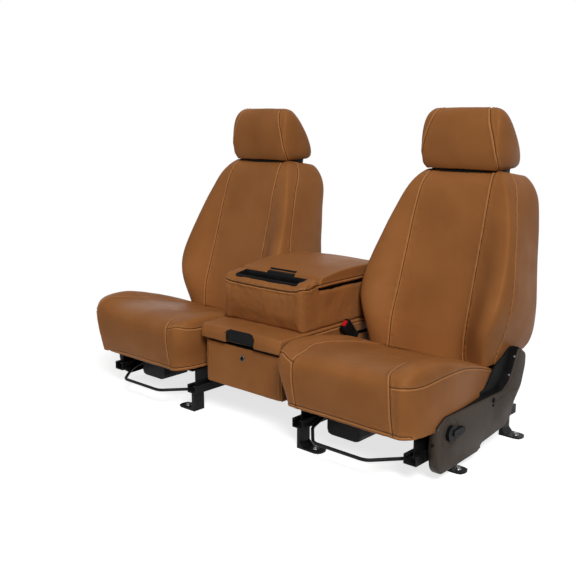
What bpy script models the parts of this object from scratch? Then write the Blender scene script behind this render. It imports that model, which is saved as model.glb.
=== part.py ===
"""Front bench of a pickup truck dressed in fitted covers.

Two bucket seats with head restraints stand on sliding tracks. Between them a storage bin carries a
lift-up cushion, and a fold-down armrest with its own lidded box turns on the same rod.
Metres, +Z up, the seats face -Y, and the origin is on the floor under the middle of the bench.
"""

import math

import bmesh
import bpy
from mathutils import Matrix, Vector

# Fits between pieces
GAP = 0.0003
RUN = 0.0006
COVER = 0.004

# Bench layout: places along Y are before BENCH_SHIFT, which centres the bench on the origin
REST_HALF = 0.186
TRACK_HALF = 0.215
CUSHION_HALF = TRACK_HALF + 0.047
SEAT_GAP = 0.022
SEAT_X = REST_HALF + SEAT_GAP + CUSHION_HALF
BENCH_SHIFT = -0.0065

# Seat tracks, measured outboard from the seat's middle
RAIL_WIDTH = 0.044
RAIL_HEIGHT = 0.030
RAIL_WALL = 0.003
RAIL_LIP = 0.010
RAIL_BASE = 0.070
RAIL_FRONT = -0.330
RAIL_REAR = 0.275
RUNNER_FRONT = -0.310
RUNNER_REAR = 0.225
RUNNER_FOOT = 0.012
RUNNER_WEB = 0.004
RUNNER_SLOTS = ((-0.08, 0.02), (0.06, 0.16))

# Feet under the lower rails
FOOT_PLATE = 0.006
FOOT_WIDTH = 0.050
FOOT_TOE_ROUND = 0.018
FOOT_BOLT = 0.0055
FOOT_BOLT_SHARE = 0.62
INNER_FOOT_REACH = 0.085
INNER_FOOT_FRONT = -0.300
OUTER_FOOT_REACH = 0.070
OUTER_FOOT_FRONT = -0.130
FOOT_REAR = 0.240

# Seat adjuster bar
BAR_ROD = 0.005
BAR_PIVOT_Y = -0.120
BAR_PIVOT_Z = 0.125
BAR_FRONT_Y = -0.388
BAR_FRONT_Z = 0.070
BAR_FRONT_HALF = 0.100
BAR_KNEE_Y = -0.290
BAR_BEND = 0.020

# Cushion pan
PAN_BASE = 0.153
PAN_SHEET = 0.0025
PAN_TOP = 0.190
PAN_HALF = TRACK_HALF - 0.025
PAN_FLANGE = TRACK_HALF + 0.007
PAN_FRONT = -0.330
PAN_REAR = 0.190
WELL_INNER = -0.140
WELL_OUTER = -0.010
WELL_FRONT = -0.270
WELL_REAR = -0.150
WELL_BASE = 0.055
WELL_ROUND = 0.018

# Seat cushion
CUSHION_FRONT = -0.412
CUSHION_REAR = 0.115
CUSHION_HEM = 0.165
CUSHION_TUCK = 0.027
CUSHION_SEAM = CUSHION_HALF - 0.094
SEAM_DEPTH = 0.005
SEAM_WIDTH = 0.007
FASCIA_TUCK = 0.022

# Seat back, measured in the back's own leaning frame from the recline pivot
LEAN = math.radians(14.0)
PIVOT_Y = 0.200
PIVOT_Z = 0.235
BACK_HALF = CUSHION_HALF + 0.004
BACK_HEM = 0.006
BACK_HEM_RISE = 0.080
BACK_TOP = 0.622
BACK_FRONT = -0.127
BACK_PAD_REAR = -0.036
BACK_BOLSTER = 0.044

# Recliner and back frame
BRACKET_PLATE = 0.005
BRACKET_FRONT = 0.127
BRACKET_EYE = 0.022
PIVOT_PIN = 0.010
ARM_PLATE = 0.005
ARM_EYE = 0.024
ARM_TOP = 0.400
ARM_FRONT = -0.030
ARM_REAR = 0.020
FRAME_TUBE = 0.011
FRAME_SHOULDER = 0.440
FRAME_TOP = 0.572
FRAME_TOP_HALF = 0.120
FRAME_LOW_BAR = 0.085

# Head restraint
POST_HALF = 0.070
POST_Y = -0.012
POST_ROD = 0.006
POST_LOW = 0.470
POST_BEND = 0.025
SLEEVE_WALL = 0.003
SLEEVE_LENGTH = 0.080
SOCKET_WALL = 0.005
SOCKET_LENGTH = 0.060
COLLAR_RADIUS = 0.016
COLLAR_HEIGHT = 0.006
HEAD_HEIGHT = 0.198
HEAD_BASE = BACK_TOP + 0.018
HEAD_HALF = 0.152
POST_HIGH = HEAD_BASE + 0.455 * HEAD_HEIGHT

# Side shield and recline lever
SHIELD_INNER = TRACK_HALF + RAIL_WIDTH / 2 + 0.0045
SHIELD_OUTER = SHIELD_INNER + 0.0335
SHIELD_WALL = 0.003
SHIELD_EDGE = 0.010
SHIELD_BASE = 0.037
SHIELD_FRONT = -0.292
SHIELD_REAR = 0.270
SHIELD_FRONT_TOP = 0.205
SHIELD_PEAK = 0.312
STANDOFF = 0.008
STANDOFF_FRONT = -0.195
STANDOFF_REAR = 0.040
STANDOFF_Z = 0.127
LEVER_Y = -0.215
LEVER_Z = 0.150
LEVER_SHAFT = 0.0075
LEVER_HUB = 0.024
LEVER_DEPTH = 0.011
LEVER_GRIP = 0.062

# Belt buckle
BUCKLE_X = REST_HALF + 0.021
BUCKLE_WIDTH = 0.024
BUCKLE_DEPTH = 0.044
BUCKLE_LENGTH = 0.080
BUCKLE_TILT = math.radians(40.0)
BUCKLE_TOP_Y = -0.030
BUCKLE_TOP_Z = 0.352
BUCKLE_STALK = 0.006
BUTTON_WIDTH = 0.014
BUTTON_DEPTH = 0.022
BUTTON_PROUD = 0.003
BUTTON_SUNK = 0.006
BUTTON_TRAVEL = 0.004

# Centre bin, its carrier and lock
BIN_HALF = REST_HALF - 0.006
BIN_FRONT = -0.322
BIN_REAR = 0.165
BIN_BASE = 0.135
BIN_TOP = BIN_BASE + 0.1535
CENTRE_TOP = BIN_TOP + 0.058
BIN_WALL = 0.004
BIN_CORNER = 0.026
WRAP = 0.006
WRAP_REAR = 0.150
LOCK_RADIUS = 0.008
LOCK_Z = 0.250
LOCK_PROUD = 0.003
LOCK_LENGTH = 0.026
CARRIER_DEPTH = 0.030
CARRIER_HEIGHT = 0.030
CARRIER_FRONT = -0.150
CARRIER_REAR = 0.100
CARRIER_END = 0.005
CARRIER_SPINE = 0.100
UPRIGHT_X = REST_HALF + 0.002
UPRIGHT_PLATE = 0.006
UPRIGHT_EYE = 0.014

# Shared hinge of the centre cushion and the armrest
HINGE_Y = 0.205
HINGE_Z = CENTRE_TOP - 0.0115
HINGE_ROD = 0.0063
EYE_WALL = 0.0045
LID_EYE_X = 0.085
ARM_EYE_X = 0.130
EYE_WIDTH = 0.014

# Centre cushion
BOARD = 0.011
BOARD_HALF = REST_HALF - 0.021
BOARD_FRONT = -0.300
BOARD_REAR = 0.185
CENTRE_HALF = REST_HALF - 0.004
CENTRE_FRONT = -0.336
CENTRE_REAR = 0.189
CENTRE_CROWN = 0.006
CENTRE_EDGE = 0.016
PAD_TUCK = 0.006
LATCH_HALF = 0.067
LATCH_THICK = 0.010
LATCH_BASE = CENTRE_TOP - 0.0395
LATCH_PIVOT_Z = CENTRE_TOP - 0.0025

# Armrest
REST_FRONT = -0.230
REST_REAR = 0.208
REST_BASE = CENTRE_TOP + 0.001
REST_RIM = REST_BASE + 0.1305
REST_REAR_RIM = REST_RIM - 0.009
REST_NOSE = REST_RIM + 0.020
REST_NOSE_REAR = -0.138
REST_ROUND = 0.014
REST_CORNER = 0.040
REST_PADDING = 0.013
TUB_WALL = 0.004
TRAY_HALF = REST_HALF - 0.041
TRAY_FRONT = -0.208
TRAY_REAR = -0.152
TRAY_DEPTH = 0.040
TRAY_WALL = 0.003

# Armrest lid
LID_BOARD = 0.004
LID_PIN = 0.00155
LID_KNUCKLE = 0.004
LID_KNUCKLE_HALF = 0.035
LID_KNUCKLE_X = 0.095
LID_EAR_X = REST_HALF - 0.036
LID_PIN_HALF = LID_EAR_X + 0.007
LID_HALF = REST_HALF - 0.004
LID_FRONT = -0.134
LID_REAR = 0.197
LID_TOP = REST_RIM + 0.058
LID_CROWN = 0.008
LID_EDGE = 0.014
LID_LATCH_HALF = 0.062
LID_LATCH_DEPTH = 0.020
LID_LATCH_BASE = LID_TOP - 0.028
LID_LATCH_THICK = 0.012

ROUND = 12
UP = Vector((0.0, 0.0, 1.0))

# Finishes: base colour, roughness, metallic
LEATHER = ((0.270, 0.108, 0.034, 1.0), 0.42, 0.0)
FOAM = ((0.620, 0.560, 0.400, 1.0), 0.95, 0.0)
BLACK_STEEL = ((0.012, 0.012, 0.013, 1.0), 0.45, 0.6)
BRIGHT_STEEL = ((0.420, 0.420, 0.430, 1.0), 0.25, 1.0)
SHIELD_PLASTIC = ((0.075, 0.061, 0.052, 1.0), 0.55, 0.0)
BLACK_PLASTIC = ((0.011, 0.011, 0.012, 1.0), 0.40, 0.0)
RED_PLASTIC = ((0.520, 0.010, 0.014, 1.0), 0.35, 0.0)


def clear_scene():
    """Empty the scene."""
    for item in list(bpy.data.objects):
        bpy.data.objects.remove(item, do_unlink=True)


def finish_material(name, finish):
    """Principled material with a finish's colour, roughness and metallic value."""
    colour, roughness, metallic = finish
    material = bpy.data.materials.new(name + "_finish")
    material.use_nodes = True
    shader = material.node_tree.nodes["Principled BSDF"]
    shader.inputs["Base Color"].default_value = colour
    shader.inputs["Roughness"].default_value = roughness
    shader.inputs["Metallic"].default_value = metallic
    return material


def world_matrix(item):
    """World matrix of an empty, worked out from its chain of parents."""
    matrix = item.matrix_basis.copy()
    while item.parent:
        item = item.parent
        matrix = item.matrix_basis @ matrix
    return matrix


def pivot(name, parent, place, turn=0.0):
    """Empty on a joint's axis. The place is in bench coordinates, the turn is about X."""
    empty = bpy.data.objects.new(name, None)
    bpy.context.collection.objects.link(empty)
    goal = Matrix.Translation(place) @ Matrix.Rotation(turn, 4, "X")
    if parent:
        empty.parent = parent
        goal = world_matrix(parent).inverted() @ Matrix.Translation((0.0, BENCH_SHIFT, 0.0)) @ goal
    empty.matrix_basis = goal
    return empty


def piece(name, solid, finish, carrier, mirrored=False, in_frame=False):
    """Named object from a solid, in bench coordinates or already in its carrier's frame."""
    if mirrored:
        bmesh.ops.scale(solid, vec=(-1.0, 1.0, 1.0), verts=solid.verts)
        bmesh.ops.reverse_faces(solid, faces=solid.faces)
    if not in_frame:
        place = world_matrix(carrier).inverted() @ Matrix.Translation((0.0, BENCH_SHIFT, 0.0))
        bmesh.ops.transform(solid, matrix=place, verts=solid.verts)
    data = bpy.data.meshes.new(name)
    solid.to_mesh(data)
    solid.free()
    data.shade_smooth()
    data.set_sharp_from_angle(angle=math.radians(35.0))
    data.materials.append(finish_material(name, finish))
    item = bpy.data.objects.new(name, data)
    bpy.context.collection.objects.link(item)
    item.parent = carrier
    return item


def arc(centre, radius, start, end, steps=6):
    """Points on an arc, in degrees."""
    points = []
    for step in range(steps + 1):
        angle = math.radians(start + (end - start) * step / steps)
        points.append((centre[0] + radius * math.cos(angle), centre[1] + radius * math.sin(angle)))
    return points


def rounded(points, radius, steps=2):
    """Outline with each corner turned into a round of the given radius."""
    outline = []
    count = len(points)
    for index, point in enumerate(points):
        corner = Vector(point)
        back = Vector(points[index - 1]) - corner
        ahead = Vector(points[(index + 1) % count]) - corner
        reach = min(radius, 0.45 * back.length, 0.45 * ahead.length)
        start = corner + back.normalized() * reach
        end = corner + ahead.normalized() * reach
        for step in range(steps + 1):
            t = step / steps
            place = start * (1 - t) ** 2 + corner * (2 * t * (1 - t)) + end * t ** 2
            outline.append(tuple(place))
    return outline


def box_outline(low_a, high_a, low_b, high_b):
    """Four corners of a rectangle."""
    return [(low_a, low_b), (high_a, low_b), (high_a, high_b), (low_a, high_b)]


def inset_outline(points, amount):
    """Outline moved inwards by an amount; the points run anticlockwise."""
    moved = []
    count = len(points)
    for index, point in enumerate(points):
        corner = Vector(point)
        before = (corner - Vector(points[index - 1])).normalized()
        after = (Vector(points[(index + 1) % count]) - corner).normalized()
        normal = Vector((-before.y - after.y, before.x + after.x)).normalized()
        share = max(0.5, normal.dot(Vector((-after.y, after.x))))
        moved.append(tuple(corner + normal * (amount / share)))
    return moved


def prism(outline, axis, low, high):
    """Solid from a flat outline run along one axis; the pairs follow the two other axes in order."""
    solid = bmesh.new()
    place = {
        "x": lambda a, b: (low, a, b),
        "y": lambda a, b: (a, low, b),
        "z": lambda a, b: (a, b, low),
    }[axis]
    base = solid.faces.new([solid.verts.new(place(a, b)) for a, b in outline])
    grown = bmesh.ops.extrude_face_region(solid, geom=[base])["geom"]
    tips = [item for item in grown if isinstance(item, bmesh.types.BMVert)]
    step = {"x": Vector((1, 0, 0)), "y": Vector((0, 1, 0)), "z": UP}[axis]
    bmesh.ops.translate(solid, verts=tips, vec=step * (high - low))
    bmesh.ops.recalc_face_normals(solid, faces=solid.faces)
    return solid


def box(low, high):
    """Solid block between two corners."""
    return prism(box_outline(low[0], high[0], low[1], high[1]), "z", low[2], high[2])


def rod(start, end, radius, sides=ROUND):
    """Straight round bar between two points."""
    solid = bmesh.new()
    start, end = Vector(start), Vector(end)
    turn = UP.rotation_difference(end - start).to_matrix().to_4x4()
    place = Matrix.Translation((start + end) / 2) @ turn
    bmesh.ops.create_cone(
        solid, cap_ends=True, segments=sides, radius1=radius, radius2=radius,
        depth=(end - start).length, matrix=place,
    )
    return solid


def bent_route(points, radius, steps=3):
    """Route through points with a bend of the given reach at each inner corner."""
    route = [Vector(points[0])]
    for before, corner, after in zip(points, points[1:], points[2:]):
        corner = Vector(corner)
        back = Vector(before) - corner
        ahead = Vector(after) - corner
        reach = min(radius, 0.45 * back.length, 0.45 * ahead.length)
        start = corner + back.normalized() * reach
        end = corner + ahead.normalized() * reach
        for step in range(steps + 1):
            t = step / steps
            route.append(start * (1 - t) ** 2 + corner * (2 * t * (1 - t)) + end * t ** 2)
    route.append(Vector(points[-1]))
    return route


def bent_rod(points, radius, bend):
    """Round bar bent along a route, with closed ends."""
    data = bpy.data.curves.new("bent_rod", "CURVE")
    data.dimensions = "3D"
    data.bevel_depth = radius
    data.bevel_resolution = 2 if radius > 0.008 else 1
    data.use_fill_caps = True
    route = bent_route(points, bend)
    spline = data.splines.new("POLY")
    spline.points.add(len(route) - 1)
    for knot, place in zip(spline.points, route):
        knot.co = (*place, 1.0)
    guide = bpy.data.objects.new("bent_rod", data)
    bpy.context.collection.objects.link(guide)
    solid = evaluated(guide)
    bpy.data.objects.remove(guide, do_unlink=True)
    bpy.data.curves.remove(data)
    bmesh.ops.remove_doubles(solid, verts=solid.verts, dist=0.00001)
    bmesh.ops.recalc_face_normals(solid, faces=solid.faces)
    return solid


def evaluated(item):
    """Solid of an object with its modifiers applied."""
    graph = bpy.context.evaluated_depsgraph_get()
    data = bpy.data.meshes.new_from_object(item.evaluated_get(graph))
    solid = bmesh.new()
    solid.from_mesh(data)
    bpy.data.meshes.remove(data)
    return solid


def boolean(solid, tool, operation):
    """Join a tool to a solid, or cut it away."""
    items = []
    for mesh in (solid, tool):
        data = bpy.data.meshes.new("work")
        mesh.to_mesh(data)
        mesh.free()
        item = bpy.data.objects.new("work", data)
        bpy.context.collection.objects.link(item)
        items.append(item)
    modifier = items[0].modifiers.new("work", "BOOLEAN")
    modifier.operation = operation
    modifier.solver = "EXACT"
    modifier.object = items[1]
    result = evaluated(items[0])
    for item in items:
        data = item.data
        bpy.data.objects.remove(item, do_unlink=True)
        bpy.data.meshes.remove(data)
    return result


def join(solid, *tools):
    """Solid with each tool fused to it."""
    for tool in tools:
        solid = boolean(solid, tool, "UNION")
    return solid


def cut(solid, *tools):
    """Solid with each tool taken out of it."""
    for tool in tools:
        solid = boolean(solid, tool, "DIFFERENCE")
    return solid


def mirrored_ring(half):
    """Closed ring from a half profile that starts and ends on the middle line."""
    return list(half) + [(-across, along) for across, along in reversed(half[1:-1])]


def loft(rings):
    """Solid skinned over rings of 3D points, each mirrored about its middle, with fanned ends."""
    solid = bmesh.new()
    rows = [[solid.verts.new(point) for point in ring] for ring in rings]
    count = len(rows[0])
    for low, high in zip(rows, rows[1:]):
        for index in range(count):
            after = (index + 1) % count
            corners = (low[index], low[after], high[after], high[index])
            first = 0 if index < count // 2 else 1
            for start in (first, first + 2):
                solid.faces.new([corners[(start + turn) % 4] for turn in range(3)])
    for row in (rows[0], rows[-1]):
        hub = solid.verts.new((row[0].co + row[count // 2].co) / 2)
        for index in range(count):
            solid.faces.new((row[index], row[(index + 1) % count], hub))
    bmesh.ops.recalc_face_normals(solid, faces=solid.faces)
    return solid


def blend_stops(stops, place):
    """Value at a place between hand-set stops, eased smoothly from stop to stop."""
    if place <= stops[0][0]:
        return stops[0][1]
    for (low, first), (high, second) in zip(stops, stops[1:]):
        if place <= high:
            t = (place - low) / (high - low)
            t = t * t * (3 - 2 * t)
            return first + (second - first) * t
    return stops[-1][1]


def lower_rail(middle, toes):
    """Channel rail with lips, carried on feet; each toe is its place along Y and its far end."""
    half = RAIL_WIDTH / 2
    throat = half - RAIL_WALL - RAIL_LIP
    top = RAIL_BASE + RAIL_HEIGHT
    side = [
        (half, RAIL_BASE), (half, top), (throat, top), (throat, top - RAIL_WALL),
        (half - RAIL_WALL, top - RAIL_WALL), (half - RAIL_WALL, RAIL_BASE + RAIL_WALL),
    ]
    profile = side + [(-across, up) for across, up in reversed(side)]
    profile = [(SEAT_X + middle + across, up) for across, up in profile]
    rail = prism(profile, "y", RAIL_FRONT, RAIL_REAR)
    for place, toe in toes:
        rail = join(rail, foot(middle, place, toe))
        hole = SEAT_X + middle + FOOT_BOLT_SHARE * (toe - middle)
        rail = cut(rail, rod((hole, place, -0.01), (hole, place, 2 * FOOT_PLATE), FOOT_BOLT, 10))
    return rail


def foot(middle, place, toe):
    """Folded foot: a leg under the rail and a rounded toe on the floor."""
    heading = 1.0 if toe > middle else -1.0
    leg_back = middle - heading * FOOT_PLATE
    leg_front = middle + heading * FOOT_PLATE
    top = RAIL_BASE + RAIL_WALL / 2
    outline = [
        (leg_back, top), (leg_back, 0.0), (toe, 0.0), (toe, FOOT_PLATE),
        (leg_front + heading * 0.012, FOOT_PLATE), (leg_front, FOOT_PLATE + 0.014), (leg_front, top),
    ]
    outline = [(SEAT_X + across, up) for across, up in outline]
    solid = prism(outline, "y", place - FOOT_WIDTH / 2, place + FOOT_WIDTH / 2)
    corners = []
    for edge in solid.edges:
        ends = [vert.co for vert in edge.verts]
        upright = abs(ends[0].z - ends[1].z) > FOOT_PLATE / 2
        at_toe = all(abs(end.x - SEAT_X - toe) < GAP for end in ends)
        if upright and at_toe:
            corners.append(edge)
    bmesh.ops.bevel(
        solid, geom=corners, offset=FOOT_TOE_ROUND, segments=2, profile=0.5, affect="EDGES", material=-1
    )
    return solid


def runner(middle):
    """Upper rail: a foot inside the channel and a web up to the cushion pan, with lightening slots."""
    half = RAIL_WIDTH / 2 - RAIL_WALL - RUN
    web = RUNNER_WEB / 2
    base = RAIL_BASE + RAIL_WALL + GAP
    top = PAN_BASE - GAP
    side = [(half, base), (half, base + RUNNER_FOOT), (web, base + RUNNER_FOOT), (web, top)]
    profile = side + [(-across, up) for across, up in reversed(side)]
    profile = [(SEAT_X + middle + across, up) for across, up in profile]
    solid = prism(profile, "y", RUNNER_FRONT, RUNNER_REAR)
    low = RAIL_BASE + RAIL_HEIGHT + 0.012
    for start, end in RUNNER_SLOTS:
        window = rounded(box_outline(start, end, low, top - 0.010), 0.010)
        solid = cut(solid, prism(window, "x", SEAT_X + middle - 0.01, SEAT_X + middle + 0.01))
    bore = BAR_ROD + RUN
    centre = SEAT_X + middle
    start, end = (centre - 0.01, BAR_PIVOT_Y, BAR_PIVOT_Z), (centre + 0.01, BAR_PIVOT_Y, BAR_PIVOT_Z)
    return cut(solid, rod(start, end, bore, 8))


def adjuster_bar():
    """Bent bar under the cushion's front edge; its ends turn out into the upper rails' webs."""
    reach = TRACK_HALF + RUNNER_WEB / 2 + RUN
    side = TRACK_HALF - RAIL_WIDTH / 2 - BAR_ROD - 0.003
    points = [
        (reach, BAR_PIVOT_Y, BAR_PIVOT_Z), (side, BAR_PIVOT_Y, BAR_PIVOT_Z),
        (side, BAR_KNEE_Y, BAR_FRONT_Z), (BAR_FRONT_HALF, BAR_FRONT_Y, BAR_FRONT_Z),
    ]
    points += [(-across, along, up) for across, along, up in reversed(points)]
    return bent_rod([(SEAT_X + across, along, up) for across, along, up in points], BAR_ROD, BAR_BEND)


def cushion_pan(well_side):
    """Pressed pan: a raised top on flanges, with a rounded well hanging under it."""
    inner = PAN_HALF - PAN_SHEET
    low, high = PAN_BASE, PAN_TOP
    side = [(inner, high - PAN_SHEET), (inner, low), (PAN_FLANGE, low), (PAN_FLANGE, low + PAN_SHEET)]
    side += [(PAN_HALF, low + PAN_SHEET), (PAN_HALF, high)]
    profile = side + [(-across, up) for across, up in reversed(side)]
    profile = [(SEAT_X + across, up) for across, up in profile]
    solid = prism(profile, "y", PAN_FRONT, PAN_REAR)
    ends = sorted((well_side * WELL_INNER, well_side * WELL_OUTER))
    shape = box_outline(SEAT_X + ends[0], SEAT_X + ends[1], WELL_BASE, high - PAN_SHEET / 2)
    return join(solid, prism(rounded(shape, WELL_ROUND), "y", WELL_FRONT, WELL_REAR))


def cushion_ring(place, inset, extra):
    """Ring of the cushion's cross-section at a place along it; extra runs its foot on below the hem."""
    length = CUSHION_REAR - CUSHION_FRONT
    t = (place - CUSHION_FRONT) / length
    width = CUSHION_HALF - inset
    width -= blend_stops(
        [(0.0, 0.052), (0.02, 0.034), (0.06, 0.014), (0.14, 0.0), (0.45, 0.0), (1.0, 0.034)], t)
    top = blend_stops(
        [(0.0, 0.318), (0.02, 0.330), (0.07, 0.341), (0.2, 0.345), (0.62, 0.306), (1.0, 0.258)], t)
    rise = blend_stops(
        [(0.0, 0.0), (0.25, 0.010), (0.62, 0.022), (0.80, 0.012), (0.92, 0.0), (1.0, -0.010)], t)
    crown = blend_stops([(0.0, 0.0), (0.15, 0.004), (0.5, 0.004), (1.0, 0.0)], t)
    groove = SEAM_DEPTH * blend_stops([(0.0, 0.0), (0.06, 1.0), (0.94, 1.0), (1.0, 0.0)], t)
    top -= inset
    seam = min(CUSHION_SEAM, width - 0.014)
    band = width - seam
    lip = min(SEAM_WIDTH, 0.3 * band)
    tall = top - CUSHION_HEM
    half = [
        (0.0, top + crown), (0.6 * seam, top + 0.7 * crown), (seam - SEAM_WIDTH, top),
        (seam, top - groove), (seam + lip, top + 0.5 * rise), (seam + 0.55 * band, top + rise),
        (seam + 0.86 * band, top + 0.5 * rise - 0.07 * tall), (width, top - 0.30 * tall),
        (width - 0.15 * CUSHION_TUCK, top - 0.50 * tall), (width - 0.85 * CUSHION_TUCK, top - 0.72 * tall),
        (width - CUSHION_TUCK, CUSHION_HEM),
    ]
    if extra:
        half.append((width - CUSHION_TUCK, CUSHION_HEM - extra))
    half.append((0.0, CUSHION_HEM - extra))
    draw = blend_stops([(0.0, 1.0), (0.10, 0.3), (0.25, 0.0)], t)
    y = place + inset * (1 - 2 * t)
    ring = []
    for across, up in mirrored_ring(half):
        down = min(1.0, max(0.0, (top - up) / tall))
        ring.append((SEAT_X + across, y + FASCIA_TUCK * draw * down * down, up))
    return ring


def cushion_form(inset, extra=0.0):
    """Solid of the seat cushion, drawn in by an inset."""
    length = CUSHION_REAR - CUSHION_FRONT
    shares = (0.0, 0.02, 0.06, 0.14, 0.30, 0.48, 0.66, 0.82, 0.94, 1.0)
    return loft([cushion_ring(CUSHION_FRONT + share * length, inset, extra) for share in shares])


def cushion_cover():
    """Cover over the seat cushion, open underneath, with a drawn-in hem and a notch over the pan's rear."""
    half = PAN_HALF + RUN
    low = (SEAT_X - half, CUSHION_REAR - 0.04, CUSHION_HEM - 0.04)
    notch = box(low, (SEAT_X + half, CUSHION_REAR + 0.04, PAN_TOP + GAP))
    return cut(cushion_form(0.0), cushion_form(COVER, 0.010), notch)


def cushion_pad():
    """Seat cushion's foam, flat where it rests on the pan."""
    below = box((0.0, CUSHION_FRONT - 0.1, 0.0), (2 * SEAT_X, CUSHION_REAR + 0.1, PAN_TOP + GAP))
    return cut(cushion_form(COVER + GAP), below)


def back_ring(place, inset):
    """Ring of the seat back's cross-section at a height, in the back's own frame."""
    width = BACK_HALF - inset - blend_stops(
        [(0.03, 0.038), (0.12, 0.018), (0.22, 0.0), (0.34, 0.0), (0.43, 0.016), (0.517, 0.046),
         (0.56, 0.070), (0.59, 0.094), (0.61, 0.118), (BACK_TOP, 0.150)], place)
    seam = BACK_HALF - blend_stops(
        [(0.03, 0.112), (0.30, 0.124), (0.59, 0.142), (0.61, 0.153), (BACK_TOP, 0.178)], place)
    front = BACK_FRONT + inset + blend_stops(
        [(0.03, 0.004), (0.16, -0.010), (0.35, 0.0), (0.56, 0.006), (0.60, 0.018), (BACK_TOP, 0.042)], place)
    rear = blend_stops(
        [(0.03, 0.128), (0.12, 0.138), (0.35, 0.116), (0.54, 0.092), (0.60, 0.074), (BACK_TOP, 0.038)], place)
    rear -= inset
    bolster = BACK_BOLSTER * blend_stops(
        [(0.03, 0.2), (0.16, 1.0), (0.30, 0.75), (0.50, 0.15), (0.58, 0.0)], place)
    groove = SEAM_DEPTH * blend_stops([(0.04, 0.0), (0.10, 1.0), (0.58, 1.0), (BACK_TOP, 0.0)], place)
    band = width - seam
    lip = min(SEAM_WIDTH, 0.3 * band)
    deep = rear - front
    half = [
        (0.0, front), (seam - SEAM_WIDTH, front - 0.001),
        (seam, front + groove), (seam + lip, front - 0.25 * bolster), (seam + 0.5 * band, front - bolster),
        (seam + 0.90 * band, front + 0.04 * deep - 0.8 * bolster),
        (width, front + 0.20 * deep - 0.3 * bolster), (width - 0.002, front + 0.50 * deep),
        (width - 0.010, front + 0.82 * deep), (width - 0.034, rear - 0.004), (0.0, rear + 0.003),
    ]
    low = max(0.0, 1.0 - (place - BACK_HEM) / 0.10)
    ring = []
    for across, along in mirrored_ring(half):
        lift = BACK_HEM_RISE * low * min(1.0, max(0.0, (along - front) / deep))
        ring.append((across, along, place + lift))
    return ring


def back_form(inset, extra=0.0):
    """Solid of the seat back in its own frame; extra runs its foot on below the hem."""
    heights = (BACK_HEM, 0.05, 0.10, 0.16, 0.25, 0.34, 0.43, 0.51, 0.565, 0.598, 0.614, BACK_TOP)
    rings = []
    for height in heights:
        ring = back_ring(height, inset)
        drop = inset * min(1.0, max(0.0, (height - 0.53) / (BACK_TOP - 0.53)))
        rings.append([(across, along, up - drop) for across, along, up in ring])
    if extra:
        rings.insert(0, [(across, along, up - extra) for across, along, up in rings[0]])
    return loft(rings)


def back_cover():
    """Cover over the seat back, open at its hem, with holes for the head restraint's sleeves."""
    shell = cut(back_form(0.0), back_form(COVER, 0.012))
    hole = POST_ROD + RUN + SLEEVE_WALL + RUN
    for across in (-POST_HALF, POST_HALF):
        shell = cut(shell, rod((across, POST_Y, BACK_TOP - 0.02), (across, POST_Y, BACK_TOP + 0.02), hole))
    return shell


def back_pad():
    """Foam pad that fills the front of the seat back, before the frame."""
    form = back_form(COVER + GAP)
    return cut(form, box((-0.4, BACK_PAD_REAR, -0.1), (0.4, 0.4, BACK_TOP + 0.1)))


def arm_inner():
    """Inner face of the back frame's arms, outboard from the seat's middle."""
    return PAN_HALF + GAP + BRACKET_PLATE + GAP


def recliner(side):
    """Fixed recliner plate on the pan's side wall, with the pin that the back turns on."""
    low = PAN_BASE + PAN_SHEET + GAP
    outline = [(BRACKET_FRONT, low), (PAN_REAR - 0.003, low)]
    outline += arc((PIVOT_Y, PIVOT_Z), BRACKET_EYE, -40.0, 200.0, 8)
    outline += [(BRACKET_FRONT, low + 0.024)]
    inner = PAN_HALF + GAP
    outer = inner + BRACKET_PLATE
    plate = prism(outline, "x", SEAT_X + inner, SEAT_X + outer)
    tip = arm_inner() + ARM_PLATE + 0.003
    pin = rod((SEAT_X + inner + 0.001, PIVOT_Y, PIVOT_Z), (SEAT_X + tip, PIVOT_Y, PIVOT_Z), PIVOT_PIN)
    solid = join(plate, pin)
    if side < 0:
        flip = Matrix.Translation((2 * SEAT_X, 0, 0)) @ Matrix.Scale(-1.0, 4, (1, 0, 0))
        bmesh.ops.transform(solid, matrix=flip, verts=solid.verts)
        bmesh.ops.reverse_faces(solid, faces=solid.faces)
    return solid


def back_frame():
    """Frame in the back: two arm plates, an upper hoop, a low bar and the sleeves' sockets."""
    inner = arm_inner()
    outline = arc((0.0, 0.0), ARM_EYE, 180.0, 360.0, 8)
    outline += [(ARM_REAR, 0.09), (0.0, ARM_TOP), (ARM_FRONT, ARM_TOP), (ARM_FRONT, 0.06)]
    hoop_side = inner - FRAME_TUBE + 0.003
    hoop = [
        (hoop_side, POST_Y, ARM_TOP - 0.08), (hoop_side, POST_Y, FRAME_SHOULDER),
        (FRAME_TOP_HALF, POST_Y, FRAME_TOP),
    ]
    hoop += [(-across, along, up) for across, along, up in reversed(hoop)]
    solid = bent_rod(hoop, FRAME_TUBE, 0.05)
    for across in (inner, -inner - ARM_PLATE):
        solid = join(solid, prism(outline, "x", across, across + ARM_PLATE))
    middle = inner + ARM_PLATE / 2
    solid = join(solid, rod((-middle, 0.0, FRAME_LOW_BAR), (middle, 0.0, FRAME_LOW_BAR), FRAME_TUBE, 8))
    sleeve = POST_ROD + RUN + SLEEVE_WALL
    low = FRAME_TOP - SOCKET_LENGTH / 2
    for across in (-POST_HALF, POST_HALF):
        socket = rod((across, POST_Y, low), (across, POST_Y, low + SOCKET_LENGTH), sleeve + GAP + SOCKET_WALL)
        bore = rod((across, POST_Y, low - 0.02), (across, POST_Y, BACK_TOP), sleeve + GAP)
        solid = cut(join(solid, socket), bore)
    reach = middle + ARM_PLATE
    for heading in (-1, 1):
        eye = rod((heading * (inner - 0.01), 0, 0), (heading * reach, 0, 0), PIVOT_PIN + RUN)
        solid = cut(solid, eye)
    return solid


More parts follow.
